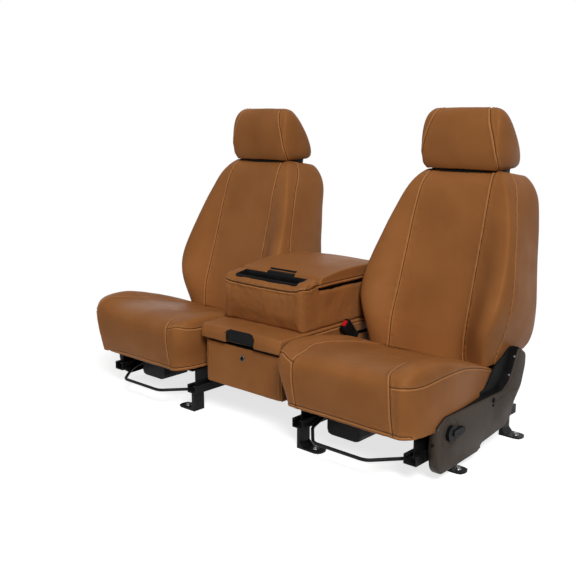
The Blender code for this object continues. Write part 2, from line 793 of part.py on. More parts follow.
def post_sleeve(across):
    """Plastic guide in the frame's socket, with a collar on top of the cover."""
    radius = POST_ROD + RUN + SLEEVE_WALL
    top = BACK_TOP + GAP
    low = top - SLEEVE_LENGTH
    body = rod((across, POST_Y, low), (across, POST_Y, top + COLLAR_HEIGHT / 2), radius)
    collar = rod((across, POST_Y, top), (across, POST_Y, top + COLLAR_HEIGHT), COLLAR_RADIUS)
    bore = rod((across, POST_Y, low - 0.01), (across, POST_Y, top + 0.02), POST_ROD + RUN)
    return cut(join(body, collar), bore)


def post_rod(radius):
    """Head restraint's U-shaped rod."""
    legs = [(POST_HALF, POST_Y, POST_LOW), (POST_HALF, POST_Y, POST_HIGH)]
    legs += [(-across, along, up) for across, along, up in reversed(legs)]
    return bent_rod(legs, radius, POST_BEND)


def head_ring(share, inset):
    """Ring of the head restraint's cross-section at a share of its height."""
    width = HEAD_HALF - inset - blend_stops(
        [(0.0, 0.022), (0.08, 0.006), (0.3, 0.0), (0.65, 0.002), (0.86, 0.012), (0.96, 0.026), (1.0, 0.046)],
        share)
    front = inset + blend_stops(
        [(0.0, -0.110), (0.08, -0.126), (0.3, -0.132), (0.65, -0.126), (0.86, -0.113), (0.96, -0.100),
         (1.0, -0.088)], share)
    rear = blend_stops(
        [(0.0, 0.046), (0.08, 0.061), (0.22, 0.060), (0.65, 0.013), (0.86, -0.024), (0.96, -0.046),
         (1.0, -0.060)], share) - inset
    deep = rear - front
    half = [
        (0.0, front - 0.004), (0.5 * width, front - 0.002), (0.84 * width, front + 0.05 * deep),
        (0.985 * width, front + 0.18 * deep), (width, front + 0.45 * deep),
        (0.97 * width, front + 0.80 * deep), (0.84 * width, rear - 0.02 * deep),
        (0.45 * width, rear), (0.0, rear + 0.002),
    ]
    up = HEAD_BASE + share * HEAD_HEIGHT
    up -= inset * max(0.0, min(1.0, (share - 0.8) / 0.2))
    return [(across, along, up) for across, along in mirrored_ring(half)]


def head_form(inset, extra=0.0):
    """Solid of the head restraint; extra runs its foot on below the hem."""
    rings = [head_ring(share, inset) for share in (0.0, 0.08, 0.22, 0.45, 0.66, 0.86, 0.96, 1.0)]
    if extra:
        rings.insert(0, [(across, along, up - extra) for across, along, up in rings[0]])
    return loft(rings)


def head_cover():
    """Cover over the head restraint, open where the posts enter."""
    return cut(head_form(0.0), head_form(COVER, 0.01))


def head_pad():
    """Head restraint's foam, moulded round the bend of the rod."""
    return cut(head_form(COVER + GAP), post_rod(POST_ROD + GAP))


def shield_outline():
    """Side shield's outline: flat foot, raked rear end, a peak over the recliner and a falling top edge."""
    corners = [
        (SHIELD_FRONT + 0.022, SHIELD_BASE), (0.020, SHIELD_BASE), (0.150, SHIELD_BASE + 0.052),
        (0.245, 0.190), (SHIELD_REAR, 0.262), (SHIELD_REAR - 0.030, SHIELD_PEAK),
        (0.190, SHIELD_PEAK - 0.036), (0.120, 0.236), (-0.060, SHIELD_FRONT_TOP + 0.008),
        (SHIELD_FRONT + 0.006, SHIELD_FRONT_TOP), (SHIELD_FRONT, SHIELD_FRONT_TOP - 0.060),
    ]
    return rounded(corners, 0.030)


def roll_rim(solid, face, radius):
    """Solid with the rim of its face at a place along X rolled over."""
    rim = [edge for edge in solid.edges if all(abs(vert.co.x - face) < GAP for vert in edge.verts)]
    bmesh.ops.bevel(solid, geom=rim, offset=radius, segments=2, profile=0.5, affect="EDGES", material=-1)
    return solid


def side_shield():
    """Moulded shield over the outboard track, hollow inside, stood off the upper rail."""
    outline = shield_outline()
    inner, outer = SEAT_X + SHIELD_INNER, SEAT_X + SHIELD_OUTER
    skin = outer - SHIELD_WALL
    solid = roll_rim(prism(outline, "x", inner, outer), outer, SHIELD_EDGE)
    hollow = prism(inset_outline(outline, SHIELD_WALL), "x", inner - 0.01, skin)
    solid = cut(solid, roll_rim(hollow, skin, SHIELD_EDGE - SHIELD_WALL))
    face = SEAT_X + TRACK_HALF + RUNNER_WEB / 2 + GAP
    for place in (STANDOFF_FRONT, STANDOFF_REAR):
        stand = rod((face, place, STANDOFF_Z), (outer - SHIELD_WALL / 2, place, STANDOFF_Z), STANDOFF, 8)
        solid = join(solid, stand)
    shaft = rod((inner, LEVER_Y, LEVER_Z), (outer + 0.01, LEVER_Y, LEVER_Z), LEVER_SHAFT + RUN)
    return cut(solid, shaft)


def recline_lever():
    """Recline lever: a dished hub with a grip, on a shaft through the shield."""
    face = SEAT_X + SHIELD_OUTER + GAP
    hub = rod((face, LEVER_Y, LEVER_Z), (face + LEVER_DEPTH, LEVER_Y, LEVER_Z), LEVER_HUB, 20)
    shaft = rod((face - 0.012, LEVER_Y, LEVER_Z), (face + 0.004, LEVER_Y, LEVER_Z), LEVER_SHAFT)
    grip_half = 0.4 * LEVER_HUB
    grip = rounded(
        box_outline(LEVER_Y, LEVER_Y + LEVER_GRIP, LEVER_Z - grip_half, LEVER_Z + grip_half), grip_half, 3)
    bar = prism(grip, "x", face + 0.003, face + LEVER_DEPTH + 0.004)
    return join(hub, shaft, bar)


def buckle_place():
    """Matrix of the buckle: its own +Z runs out of the top of the tilted head."""
    turn = Matrix.Rotation(BUCKLE_TILT, 4, "X")
    return Matrix.Translation((BUCKLE_X, BUCKLE_TOP_Y, BUCKLE_TOP_Z)) @ turn


def buckle():
    """Belt buckle on its stalk, which is bolted to the inboard recliner plate."""
    half = BUCKLE_WIDTH / 2
    deep = BUCKLE_DEPTH / 2
    head = prism(rounded(box_outline(-half, half, -deep, deep), 0.006), "z", -BUCKLE_LENGTH, 0.0)
    rim = [edge for edge in head.edges if all(abs(vert.co.z) < GAP for vert in edge.verts)]
    bmesh.ops.bevel(head, geom=rim, offset=0.003, segments=2, profile=0.5, affect="EDGES", material=-1)
    pocket_half = BUTTON_WIDTH / 2 + RUN
    pocket_deep = BUTTON_DEPTH / 2 + RUN
    depth = BUTTON_SUNK + BUTTON_TRAVEL + RUN
    head = cut(head, box((-pocket_half, -pocket_deep, -depth), (pocket_half, pocket_deep, 0.01)))
    bmesh.ops.transform(head, matrix=buckle_place(), verts=head.verts)
    foot_end = buckle_place() @ Vector((0.0, 0.0, -BUCKLE_LENGTH + 0.015))
    lug_face = SEAT_X - PAN_HALF - GAP - BRACKET_PLATE - GAP
    lug_y, lug_z = BRACKET_FRONT + 0.012, PAN_BASE + PAN_SHEET + GAP + 0.013
    route = [
        tuple(foot_end), (BUCKLE_X, foot_end.y + 0.045, foot_end.z - 0.045),
        (lug_face - 0.030, lug_y + 0.004, lug_z + 0.012), (lug_face - BUCKLE_STALK / 2, lug_y, lug_z),
    ]
    stalk = bent_rod(route, BUCKLE_STALK, 0.03)
    lug = rod((lug_face - 0.006, lug_y, lug_z), (lug_face, lug_y, lug_z), 0.011)
    beyond = box((lug_face, lug_y - 0.03, lug_z - 0.03), (lug_face + 0.03, lug_y + 0.03, lug_z + 0.03))
    return join(head, cut(stalk, beyond), lug)


def buckle_button():
    """Release button in the top of the buckle."""
    half = BUTTON_WIDTH / 2
    deep = BUTTON_DEPTH / 2
    shape = rounded(box_outline(-half, half, -deep, deep), 0.002, 2)
    solid = prism(shape, "z", -BUTTON_SUNK, BUTTON_PROUD)
    bmesh.ops.transform(solid, matrix=buckle_place(), verts=solid.verts)
    return solid


def build_seat(name, side, bench):
    """One bucket seat; the driver's is built on +X and the passenger's is its mirror image."""
    flip = side < 0

    def add(part, solid, finish, carrier, in_frame=False):
        piece(name + "_" + part, solid, finish, carrier, flip, in_frame)

    middle = side * SEAT_X
    inner_toe = -TRACK_HALF + INNER_FOOT_REACH
    outer_toe = TRACK_HALF + OUTER_FOOT_REACH
    inner_feet = ((INNER_FOOT_FRONT, inner_toe), (FOOT_REAR, inner_toe))
    outer_feet = ((OUTER_FOOT_FRONT, outer_toe), (FOOT_REAR, outer_toe))
    add("inboard_lower_rail", lower_rail(-TRACK_HALF, inner_feet), BLACK_STEEL, bench)
    add("outboard_lower_rail", lower_rail(TRACK_HALF, outer_feet), BLACK_STEEL, bench)

    slide = pivot(name + "_slide_axis", bench, (middle, 0.0, RAIL_BASE))
    add("inboard_upper_rail", runner(-TRACK_HALF), BLACK_STEEL, slide)
    add("outboard_upper_rail", runner(TRACK_HALF), BLACK_STEEL, slide)
    add("cushion_pan", cushion_pan(side), BLACK_STEEL, slide)
    add("cushion_foam", cushion_pad(), FOAM, slide)
    add("cushion_cover", cushion_cover(), LEATHER, slide)
    add("side_shield", side_shield(), SHIELD_PLASTIC, slide)
    add("inboard_recliner", recliner(-1), BLACK_STEEL, slide)
    add("outboard_recliner", recliner(1), BLACK_STEEL, slide)
    add("buckle", buckle(), BLACK_PLASTIC, slide)

    bar = pivot(name + "_bar_axis", slide, (middle, BAR_PIVOT_Y, BAR_PIVOT_Z))
    add("adjuster_bar", adjuster_bar(), BLACK_STEEL, bar)
    lever = pivot(name + "_lever_axis", slide, (side * (SEAT_X + SHIELD_OUTER), LEVER_Y, LEVER_Z))
    add("recline_lever", recline_lever(), BLACK_PLASTIC, lever)
    button = pivot(name + "_button_axis", slide, (side * BUCKLE_X, BUCKLE_TOP_Y, BUCKLE_TOP_Z))
    add("buckle_button", buckle_button(), RED_PLASTIC, button)

    recline = pivot(name + "_recline_axis", slide, (middle, PIVOT_Y, PIVOT_Z), -LEAN)
    add("back_frame", back_frame(), BLACK_STEEL, recline, True)
    add("back_foam", back_pad(), FOAM, recline, True)
    add("back_cover", back_cover(), LEATHER, recline, True)
    add("inboard_post_sleeve", post_sleeve(-POST_HALF), BLACK_PLASTIC, recline, True)
    add("outboard_post_sleeve", post_sleeve(POST_HALF), BLACK_PLASTIC, recline, True)

    lift = bpy.data.objects.new(name + "_head_lift_axis", None)
    bpy.context.collection.objects.link(lift)
    lift.parent = recline
    add("head_posts", post_rod(POST_ROD), BRIGHT_STEEL, lift, True)
    add("head_foam", head_pad(), FOAM, lift, True)
    add("head_cover", head_cover(), LEATHER, lift, True)


def bin_outline(inset, rear):
    """Bin's plan outline with rounded front corners, drawn in by an inset."""
    half = BIN_HALF - inset
    corner = BIN_CORNER - inset
    front = BIN_FRONT + inset
    points = [(half, rear), (-half, rear)]
    points += arc((-half + corner, front + corner), corner, 180.0, 270.0, 4)
    points += arc((half - corner, front + corner), corner, 270.0, 360.0, 4)
    return points


def lock_bore(radius):
    """Round bar along the lock's axis, long enough to pass the bin's front."""
    return rod((0.0, BIN_FRONT - 0.02, LOCK_Z), (0.0, BIN_FRONT + WRAP + BIN_WALL + 0.01, LOCK_Z), radius)


def storage_bin():
    """Open storage bin."""
    outer = prism(bin_outline(WRAP + GAP, BIN_REAR), "z", BIN_BASE, BIN_TOP)
    wall = WRAP + GAP + BIN_WALL
    inner = prism(bin_outline(wall, BIN_REAR - BIN_WALL), "z", BIN_BASE + BIN_WALL, BIN_TOP + 0.01)
    return cut(outer, inner, lock_bore(LOCK_RADIUS + GAP))


def bin_cover():
    """Padded wrap round the bin's front and sides."""
    low, high = BIN_BASE + 0.002, BIN_TOP - 0.002
    outer = prism(bin_outline(0.0, WRAP_REAR), "z", low, high)
    inner = prism(bin_outline(WRAP, WRAP_REAR + 0.01), "z", low - 0.01, high + 0.01)
    return cut(outer, inner, lock_bore(LOCK_RADIUS + GAP))


def bin_lock():
    """Lock cylinder in the bin's front with a key slot."""
    front = BIN_FRONT - LOCK_PROUD
    solid = rod((0.0, front, LOCK_Z), (0.0, front + LOCK_LENGTH, LOCK_Z), LOCK_RADIUS)
    slot = box((-0.001, front - 0.01, LOCK_Z - 0.004), (0.001, front + 0.004, LOCK_Z + 0.004))
    return cut(solid, slot)


def eye_arm(centre, radius, arm, x, width):
    """Hinge arm: an outline that wraps an eye, run across a width about x."""
    outline = arm + arc(centre, radius, 0.0, 180.0)
    return prism(outline, "x", x - width / 2, x + width / 2)


def hinge_bore(low, high):
    """Bore for the shared hinge rod between two places along X."""
    return rod((low, HINGE_Y, HINGE_Z), (high, HINGE_Y, HINGE_Z), HINGE_ROD + GAP)


def centre_carrier():
    """Ladder frame between the inboard tracks, with two uprights that hold the hinge rod."""
    top = BIN_BASE - GAP
    low = top - CARRIER_HEIGHT
    reach = SEAT_X - TRACK_HALF - RAIL_WIDTH / 2 - GAP
    deep = CARRIER_DEPTH / 2
    solid = box((-reach, CARRIER_FRONT - deep, low), (reach, CARRIER_FRONT + deep, top))
    rear = box((-reach, CARRIER_REAR - deep, low), (reach, CARRIER_REAR + deep, top))
    half_spine = 0.010
    spines = [
        box((x - half_spine, CARRIER_FRONT, low + 0.003), (x + half_spine, CARRIER_REAR, top - 0.003))
        for x in (-CARRIER_SPINE, CARRIER_SPINE)
    ]
    solid = join(solid, spines[0], spines[1], rear)
    for place in (CARRIER_FRONT, CARRIER_REAR):
        for heading in (-1, 1):
            ends = sorted((heading * (reach - CARRIER_END), heading * reach))
            start, end = place - 0.8 * CARRIER_DEPTH, place + 0.8 * CARRIER_DEPTH
            solid = join(solid, box((ends[0], start, RAIL_BASE + 0.002), (ends[1], end, low + 0.010)))
    outline = [(CARRIER_REAR - 0.012, low + 0.004), (CARRIER_REAR + 0.013, low + 0.004)]
    outline += arc((HINGE_Y, HINGE_Z), UPRIGHT_EYE, -30.0, 150.0)
    for heading in (-1, 1):
        ends = sorted((heading * UPRIGHT_X, heading * (UPRIGHT_X + UPRIGHT_PLATE)))
        solid = join(solid, prism(outline, "x", ends[0], ends[1]))
        solid = cut(solid, hinge_bore(ends[0] - 0.01, ends[1] + 0.01))
    return solid


def hinge_rod():
    """Rod that the centre cushion and the armrest turn on."""
    end = UPRIGHT_X + UPRIGHT_PLATE
    return rod((-end, HINGE_Y, HINGE_Z), (end, HINGE_Y, HINGE_Z), HINGE_ROD)


def centre_board():
    """Board under the centre cushion, with two arms to the hinge rod."""
    low = BIN_TOP + GAP
    high = low + BOARD
    outline = rounded(box_outline(-BOARD_HALF, BOARD_HALF, BOARD_FRONT, BOARD_REAR), 0.02)
    solid = prism(outline, "z", low, high)
    eye = HINGE_ROD + GAP + EYE_WALL
    arm = [(HINGE_Y - eye, HINGE_Z), (HINGE_Y - eye, high - 0.001), (0.15, high - 0.001), (0.15, low + 0.001)]
    arm += [(HINGE_Y + eye, low + 0.001)]
    for x in (-LID_EYE_X, LID_EYE_X):
        solid = join(solid, eye_arm((HINGE_Y, HINGE_Z), eye, arm, x, EYE_WIDTH))
        solid = cut(solid, hinge_bore(x - EYE_WIDTH, x + EYE_WIDTH))
    return solid


def padded_block(half, front, rear, low, top, crown, edge):
    """Cushioned block with a crowned top, rolled edges and drawn-in sides."""
    length = rear - front
    rings = []
    stops = (0.0, 0.25 * edge, edge, 2.5 * edge, 0.30 * length, 0.5 * length)
    places = list(stops) + [length - stop for stop in reversed(stops[:-1])]
    for place in places:
        near = min(place, length - place)
        shrink = edge * (1.0 - min(1.0, near / edge)) ** 2
        width = half - shrink
        bow = 1.0 - (2.0 * place / length - 1.0) ** 2
        peak = top - crown * (1.0 - bow) - 0.7 * shrink
        brow = peak - crown * 0.6
        half_ring = [
            (0.0, peak), (0.5 * width, peak - 0.15 * crown), (width - 1.6 * edge, brow),
            (width - 0.7 * edge, brow - 0.12 * edge), (width - 0.2 * edge, brow - 0.45 * edge),
            (width, brow - edge), (width - PAD_TUCK, low), (0.0, low),
        ]
        rings.append([(across, front + place, up) for across, up in mirrored_ring(half_ring)])
    return loft(rings)


def centre_cushion():
    """Padded centre cushion with a notch for its latch."""
    low = BIN_TOP + GAP + BOARD + GAP
    pad = padded_block(CENTRE_HALF, CENTRE_FRONT, CENTRE_REAR, low, CENTRE_TOP, CENTRE_CROWN, CENTRE_EDGE)
    back = CENTRE_FRONT + LATCH_THICK + RUN
    notch_half = LATCH_HALF + RUN
    low_corner = (-notch_half, CENTRE_FRONT - 0.05, LATCH_BASE - RUN)
    return cut(pad, box(low_corner, (notch_half, back, CENTRE_TOP + 0.05)))


def centre_latch():
    """Pull latch of the centre cushion, turning about its rounded top edge."""
    radius = LATCH_THICK / 2
    middle = CENTRE_FRONT + radius
    outline = [(middle - radius, LATCH_PIVOT_Z), (middle - radius, LATCH_BASE), (middle + radius, LATCH_BASE)]
    outline += arc((middle, LATCH_PIVOT_Z), radius, 0.0, 180.0)[:-1]
    solid = prism(outline, "x", -LATCH_HALF, LATCH_HALF)
    grip = box((-0.7 * LATCH_HALF, middle - 2 * radius, LATCH_BASE - 0.01),
               (0.7 * LATCH_HALF, middle, LATCH_BASE + 0.014))
    return cut(solid, grip)


def tub_outline(inset):
    """Plan of the armrest's box, drawn in by an inset."""
    margin = REST_PADDING + inset
    half = REST_HALF - margin
    return rounded(box_outline(-half, half, REST_NOSE_REAR + margin, REST_REAR - margin), 0.016)


def rest_base():
    """Height of the armrest box's underside."""
    return REST_BASE + REST_PADDING


def armrest_cover():
    """Padded armrest body: sides, floor and a raised nose with a pocket for the tray."""
    outline = [
        (REST_FRONT + 0.010, REST_BASE), (REST_REAR, REST_BASE), (REST_REAR, REST_REAR_RIM),
        (LID_REAR - 0.016, REST_REAR_RIM), (LID_REAR - 0.030, REST_RIM), (REST_NOSE_REAR, REST_RIM),
        (REST_NOSE_REAR, REST_NOSE), (REST_FRONT + 0.006, REST_NOSE - 0.006), (REST_FRONT, REST_BASE + 0.045),
    ]
    solid = prism(outline, "x", -REST_HALF, REST_HALF)
    rim = []
    for edge in solid.edges:
        ends = [vert.co for vert in edge.verts]
        on_side = abs(ends[0].x - ends[1].x) < GAP
        at_front = max(end.y for end in ends) < REST_FRONT + 0.02
        if on_side or at_front:
            rim.append(edge)
    bmesh.ops.bevel(
        solid, geom=rim, offset=REST_ROUND, segments=2, profile=0.5, affect="EDGES", material=-1,
        clamp_overlap=True,
    )
    for side in (-1, 1):
        corner = [(REST_HALF - REST_CORNER, REST_FRONT - 0.02), (REST_HALF + 0.02, REST_FRONT - 0.02)]
        corner += [(REST_HALF + 0.02, REST_FRONT + REST_CORNER)]
        corner += arc((REST_HALF - REST_CORNER, REST_FRONT + REST_CORNER), REST_CORNER, -3.0, -87.0, 5)
        corner = [(side * across, along) for across, along in corner]
        solid = cut(solid, prism(corner, "z", REST_BASE - 0.02, REST_NOSE + 0.02))
    hollow = prism(tub_outline(0.0), "z", rest_base(), REST_RIM + 0.05)
    pocket = box((-TRAY_HALF, TRAY_FRONT, REST_NOSE - TRAY_DEPTH), (TRAY_HALF, TRAY_REAR, REST_NOSE + 0.05))
    solid = cut(solid, hollow, pocket)
    eye = HINGE_ROD + GAP + EYE_WALL
    for x in (-ARM_EYE_X, ARM_EYE_X):
        half = EYE_WIDTH / 2 + RUN
        low_corner = (x - half, HINGE_Y - eye - RUN, REST_BASE - 0.05)
        solid = cut(solid, box(low_corner, (x + half, HINGE_Y + 0.05, rest_base() + 0.05)))
    return solid


def lid_hinge():
    """Place of the armrest lid's hinge pin: over the box's rear wall."""
    return REST_REAR - REST_PADDING - GAP - TUB_WALL / 2, REST_RIM + GAP + LID_KNUCKLE


def armrest_tub():
    """Armrest's storage box, with arms down to the hinge rod and ears for the lid's pin."""
    low, high = rest_base() + GAP, REST_RIM - 0.001
    outer = prism(tub_outline(GAP), "z", low, high)
    inner = prism(tub_outline(GAP + TUB_WALL), "z", low + TUB_WALL, high + 0.05)
    solid = cut(outer, inner)
    eye = HINGE_ROD + GAP + EYE_WALL
    top = low + 0.030
    rear = REST_REAR - REST_PADDING - GAP - TUB_WALL / 2
    for x in (-ARM_EYE_X, ARM_EYE_X):
        outline = [(rear, top), (HINGE_Y - eye, top)]
        outline += arc((HINGE_Y, HINGE_Z), eye, 180.0, 360.0)
        outline += [(HINGE_Y + eye, REST_BASE), (HINGE_Y + eye - 0.004, top)]
        solid = join(solid, prism(outline, "x", x - EYE_WIDTH / 2, x + EYE_WIDTH / 2))
        solid = cut(solid, hinge_bore(x - EYE_WIDTH, x + EYE_WIDTH))
    y, z = lid_hinge()
    for x in (-LID_EAR_X, LID_EAR_X):
        half, deep = EYE_WIDTH / 2, TUB_WALL / 2
        ear = box((x - half, y - deep, high - 0.010), (x + half, y + deep, z + LID_KNUCKLE - RUN))
        bore = rod((x - EYE_WIDTH, y, z), (x + EYE_WIDTH, y, z), LID_PIN + GAP, 8)
        solid = cut(join(solid, ear), bore)
    return solid


def armrest_tray():
    """Shallow tray set into the armrest's nose."""
    half = TRAY_HALF - GAP
    front, rear = TRAY_FRONT + GAP, TRAY_REAR - GAP
    low = REST_NOSE - TRAY_DEPTH + GAP
    top = REST_NOSE - 0.004
    outer = box((-half, front, low), (half, rear, top))
    wall = TRAY_WALL
    inner = box((-half + wall, front + wall, low + wall), (half - wall, rear - wall, top + 0.05))
    return cut(outer, inner)


def armrest_lid_board():
    """Lid board with knuckles round the hinge pin."""
    y, z = lid_hinge()
    low = REST_RIM + GAP
    half = LID_HALF - 0.014
    solid = box((-half, LID_FRONT + 0.012, low), (half, y - LID_KNUCKLE - 0.003, low + LID_BOARD))
    width = LID_KNUCKLE_HALF
    for x in (-LID_KNUCKLE_X, 0.0, LID_KNUCKLE_X):
        arm = box((x - width, y - 0.030, low), (x + width, y, low + LID_BOARD))
        barrel = rod((x - width, y, z), (x + width, y, z), LID_KNUCKLE)
        solid = join(solid, join(arm, barrel))
        solid = cut(solid, rod((x - 2 * width, y, z), (x + 2 * width, y, z), LID_PIN + GAP, 8))
    return solid


def lid_hinge_pin():
    """Pin of the armrest lid's hinge."""
    y, z = lid_hinge()
    return rod((-LID_PIN_HALF, y, z), (LID_PIN_HALF, y, z), LID_PIN, 8)


def armrest_lid_cover():
    """Padded top of the armrest lid with a notch for its latch."""
    low = REST_RIM + GAP + 2 * LID_KNUCKLE + GAP
    pad = padded_block(LID_HALF, LID_FRONT, LID_REAR, low, LID_TOP, LID_CROWN, LID_EDGE)
    notch_half = LID_LATCH_HALF + RUN
    back = LID_FRONT + LID_LATCH_DEPTH + RUN
    low_corner = (-notch_half, LID_FRONT - 0.05, LID_LATCH_BASE - RUN)
    return cut(pad, box(low_corner, (notch_half, back, LID_TOP + 0.05)))


def armrest_lid_latch():
    """Lift latch at the front of the armrest lid, turning about its rounded rear edge."""
    radius = LID_LATCH_THICK / 2
    rear = LID_FRONT + LID_LATCH_DEPTH - radius
    middle = LID_LATCH_BASE + radius
    outline = [(rear, middle + radius), (LID_FRONT + 0.003, middle + 0.5 * radius)]
    outline += [(LID_FRONT + 0.001, middle - radius)]
    outline += arc((rear, middle), radius, -90.0, 90.0)[:-1]
    return prism(outline, "x", -LID_LATCH_HALF, LID_LATCH_HALF)


def build_centre(bench):
    """Storage bin, centre cushion and armrest between the seats."""
    piece("centre_carrier", centre_carrier(), BLACK_STEEL, bench)
    piece("storage_bin", storage_bin(), BLACK_PLASTIC, bench)
    piece("bin_cover", bin_cover(), LEATHER, bench)
    piece("hinge_rod", hinge_rod(), BRIGHT_STEEL, bench)
    lock = pivot("lock_axis", bench, (0.0, BIN_FRONT, LOCK_Z))
    piece("bin_lock", bin_lock(), BLACK_PLASTIC, lock)

    lid = pivot("centre_cushion_axis", bench, (0.0, HINGE_Y, HINGE_Z))
    piece("centre_board", centre_board(), BLACK_PLASTIC, lid)
    piece("centre_cushion", centre_cushion(), LEATHER, lid)
    latch = pivot("centre_latch_axis", lid, (0.0, CENTRE_FRONT + LATCH_THICK / 2, LATCH_PIVOT_Z))
    piece("centre_latch", centre_latch(), BLACK_PLASTIC, latch)

    rest = pivot("armrest_axis", lid, (0.0, HINGE_Y, HINGE_Z))
    piece("armrest_cover", armrest_cover(), LEATHER, rest)
    piece("armrest_tub", armrest_tub(), BLACK_PLASTIC, rest)
    piece("armrest_tray", armrest_tray(), BLACK_PLASTIC, rest)
    piece("lid_hinge_pin", lid_hinge_pin(), BRIGHT_STEEL, rest)
    y, z = lid_hinge()
    cap = pivot("armrest_lid_axis", rest, (0.0, y, z))
    piece("armrest_lid_board", armrest_lid_board(), BLACK_PLASTIC, cap)
    piece("armrest_lid_cover", armrest_lid_cover(), LEATHER, cap)
    catch_y = LID_FRONT + LID_LATCH_DEPTH - LID_LATCH_THICK / 2
    catch = pivot("armrest_latch_axis", cap, (0.0, catch_y, LID_LATCH_BASE + LID_LATCH_THICK / 2))
    piece("armrest_lid_latch", armrest_lid_latch(), BLACK_PLASTIC, catch)


def main():
    """Build the whole bench."""
    clear_scene()
    bench = pivot("bench_origin", None, (0.0, 0.0, 0.0))
    build_seat("driver", 1, bench)
    build_seat("passenger", -1, bench)
    build_centre(bench)


main()
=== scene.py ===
"""Front bench of a pickup in fitted leatherette covers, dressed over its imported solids.

The seats face -Y, the driver's seat is on +X, and heights are above the cab's floor, in metres.
"""

import math

import bmesh
import bpy
from mathutils import Matrix, Vector, noise
from mathutils.bvhtree import BVHTree
from mathutils.kdtree import KDTree


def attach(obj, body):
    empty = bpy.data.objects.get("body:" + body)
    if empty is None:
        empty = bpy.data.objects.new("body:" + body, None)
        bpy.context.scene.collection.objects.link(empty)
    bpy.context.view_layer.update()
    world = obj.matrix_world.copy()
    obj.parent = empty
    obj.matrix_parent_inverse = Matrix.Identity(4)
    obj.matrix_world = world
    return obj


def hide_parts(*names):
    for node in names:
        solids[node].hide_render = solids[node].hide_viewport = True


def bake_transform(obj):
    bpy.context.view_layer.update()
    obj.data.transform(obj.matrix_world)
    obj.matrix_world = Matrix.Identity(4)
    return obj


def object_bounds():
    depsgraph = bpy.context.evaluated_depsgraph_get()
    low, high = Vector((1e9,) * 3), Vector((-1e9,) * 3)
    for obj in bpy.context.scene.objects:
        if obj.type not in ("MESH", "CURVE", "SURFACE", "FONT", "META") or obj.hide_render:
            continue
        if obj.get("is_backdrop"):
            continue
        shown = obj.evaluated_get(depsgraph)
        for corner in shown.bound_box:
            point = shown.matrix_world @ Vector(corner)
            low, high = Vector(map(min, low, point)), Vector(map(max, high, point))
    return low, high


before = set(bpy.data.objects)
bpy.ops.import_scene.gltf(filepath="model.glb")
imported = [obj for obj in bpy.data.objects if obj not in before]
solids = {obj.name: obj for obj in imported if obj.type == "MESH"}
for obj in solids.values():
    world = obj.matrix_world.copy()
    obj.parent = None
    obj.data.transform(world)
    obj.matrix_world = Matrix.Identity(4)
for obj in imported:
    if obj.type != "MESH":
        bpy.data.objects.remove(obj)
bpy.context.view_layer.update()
seats = {"driver": 1, "passenger": -1}
SEAT_X = 0.470

# Seat tracks, feet, cushion pans and recliner plates, with the carrier under the centre bin.
# Pressed and welded steel, dipped in a thin black coat that dulls with dust and rubs thin in small patches.


def start_material(name, roughness=0.5, metallic=0.0):
    """New material with its tree and shader."""
    material = bpy.data.materials.new(name)
    material.use_nodes = True
    tree = material.node_tree
    shader = tree.nodes["Principled BSDF"]
    shader.inputs["Roughness"].default_value = roughness
    shader.inputs["Metallic"].default_value = metallic
    return material, tree, shader


def start_group(name, inputs, outputs):
    """Empty shader group with float or colour sockets, and its two end nodes."""
    group = bpy.data.node_groups.new(name, "ShaderNodeTree")
    for socket, value in inputs:
        kind = "NodeSocketColor" if isinstance(value, tuple) else "NodeSocketFloat"
        made = group.interface.new_socket(socket, in_out="INPUT", socket_type=kind)
        made.default_value = value
    for socket, kind in outputs:
        group.interface.new_socket(socket, in_out="OUTPUT", socket_type=kind)
    return group, group.nodes.new("NodeGroupInput"), group.nodes.new("NodeGroupOutput")


def place_group(tree, group, **values):
    """Group node in a material, with its own input values."""
    node = tree.nodes.new("ShaderNodeGroup")
    node.node_tree = group
    for socket, value in values.items():
        node.inputs[socket].default_value = value
    return node


def math_node(tree, operation, first, second):
    """Math node; each side is a socket or a number."""
    node = tree.nodes.new("ShaderNodeMath")
    node.operation = operation
    for index, side in enumerate((first, second)):
        if isinstance(side, (int, float)):
            node.inputs[index].default_value = side
        else:
            tree.links.new(side, node.inputs[index])
    return node.outputs["Value"]


def remap(tree, value, low, high, to_low, to_high):
    """Smooth map from one range to another, clamped."""
    node = tree.nodes.new("ShaderNodeMapRange")
    node.interpolation_type = "SMOOTHSTEP"
    tree.links.new(value, node.inputs["Value"])
    for socket, number in zip(("From Min", "From Max", "To Min", "To Max"), (low, high, to_low, to_high)):
        node.inputs[socket].default_value = number
    return node.outputs["Result"]


def colour_mix(tree, share, first, second):
    """Colour between two, each a socket or a colour."""
    node = tree.nodes.new("ShaderNodeMix")
    node.data_type = "RGBA"
    tree.links.new(share, node.inputs["Factor"])
    for socket, side in (("A", first), ("B", second)):
        target = [item for item in node.inputs if item.name == socket and item.type == "RGBA"][0]
        if isinstance(side, tuple):
            target.default_value = side
        else:
            tree.links.new(side, target)
    return [item for item in node.outputs if item.type == "RGBA"][0]


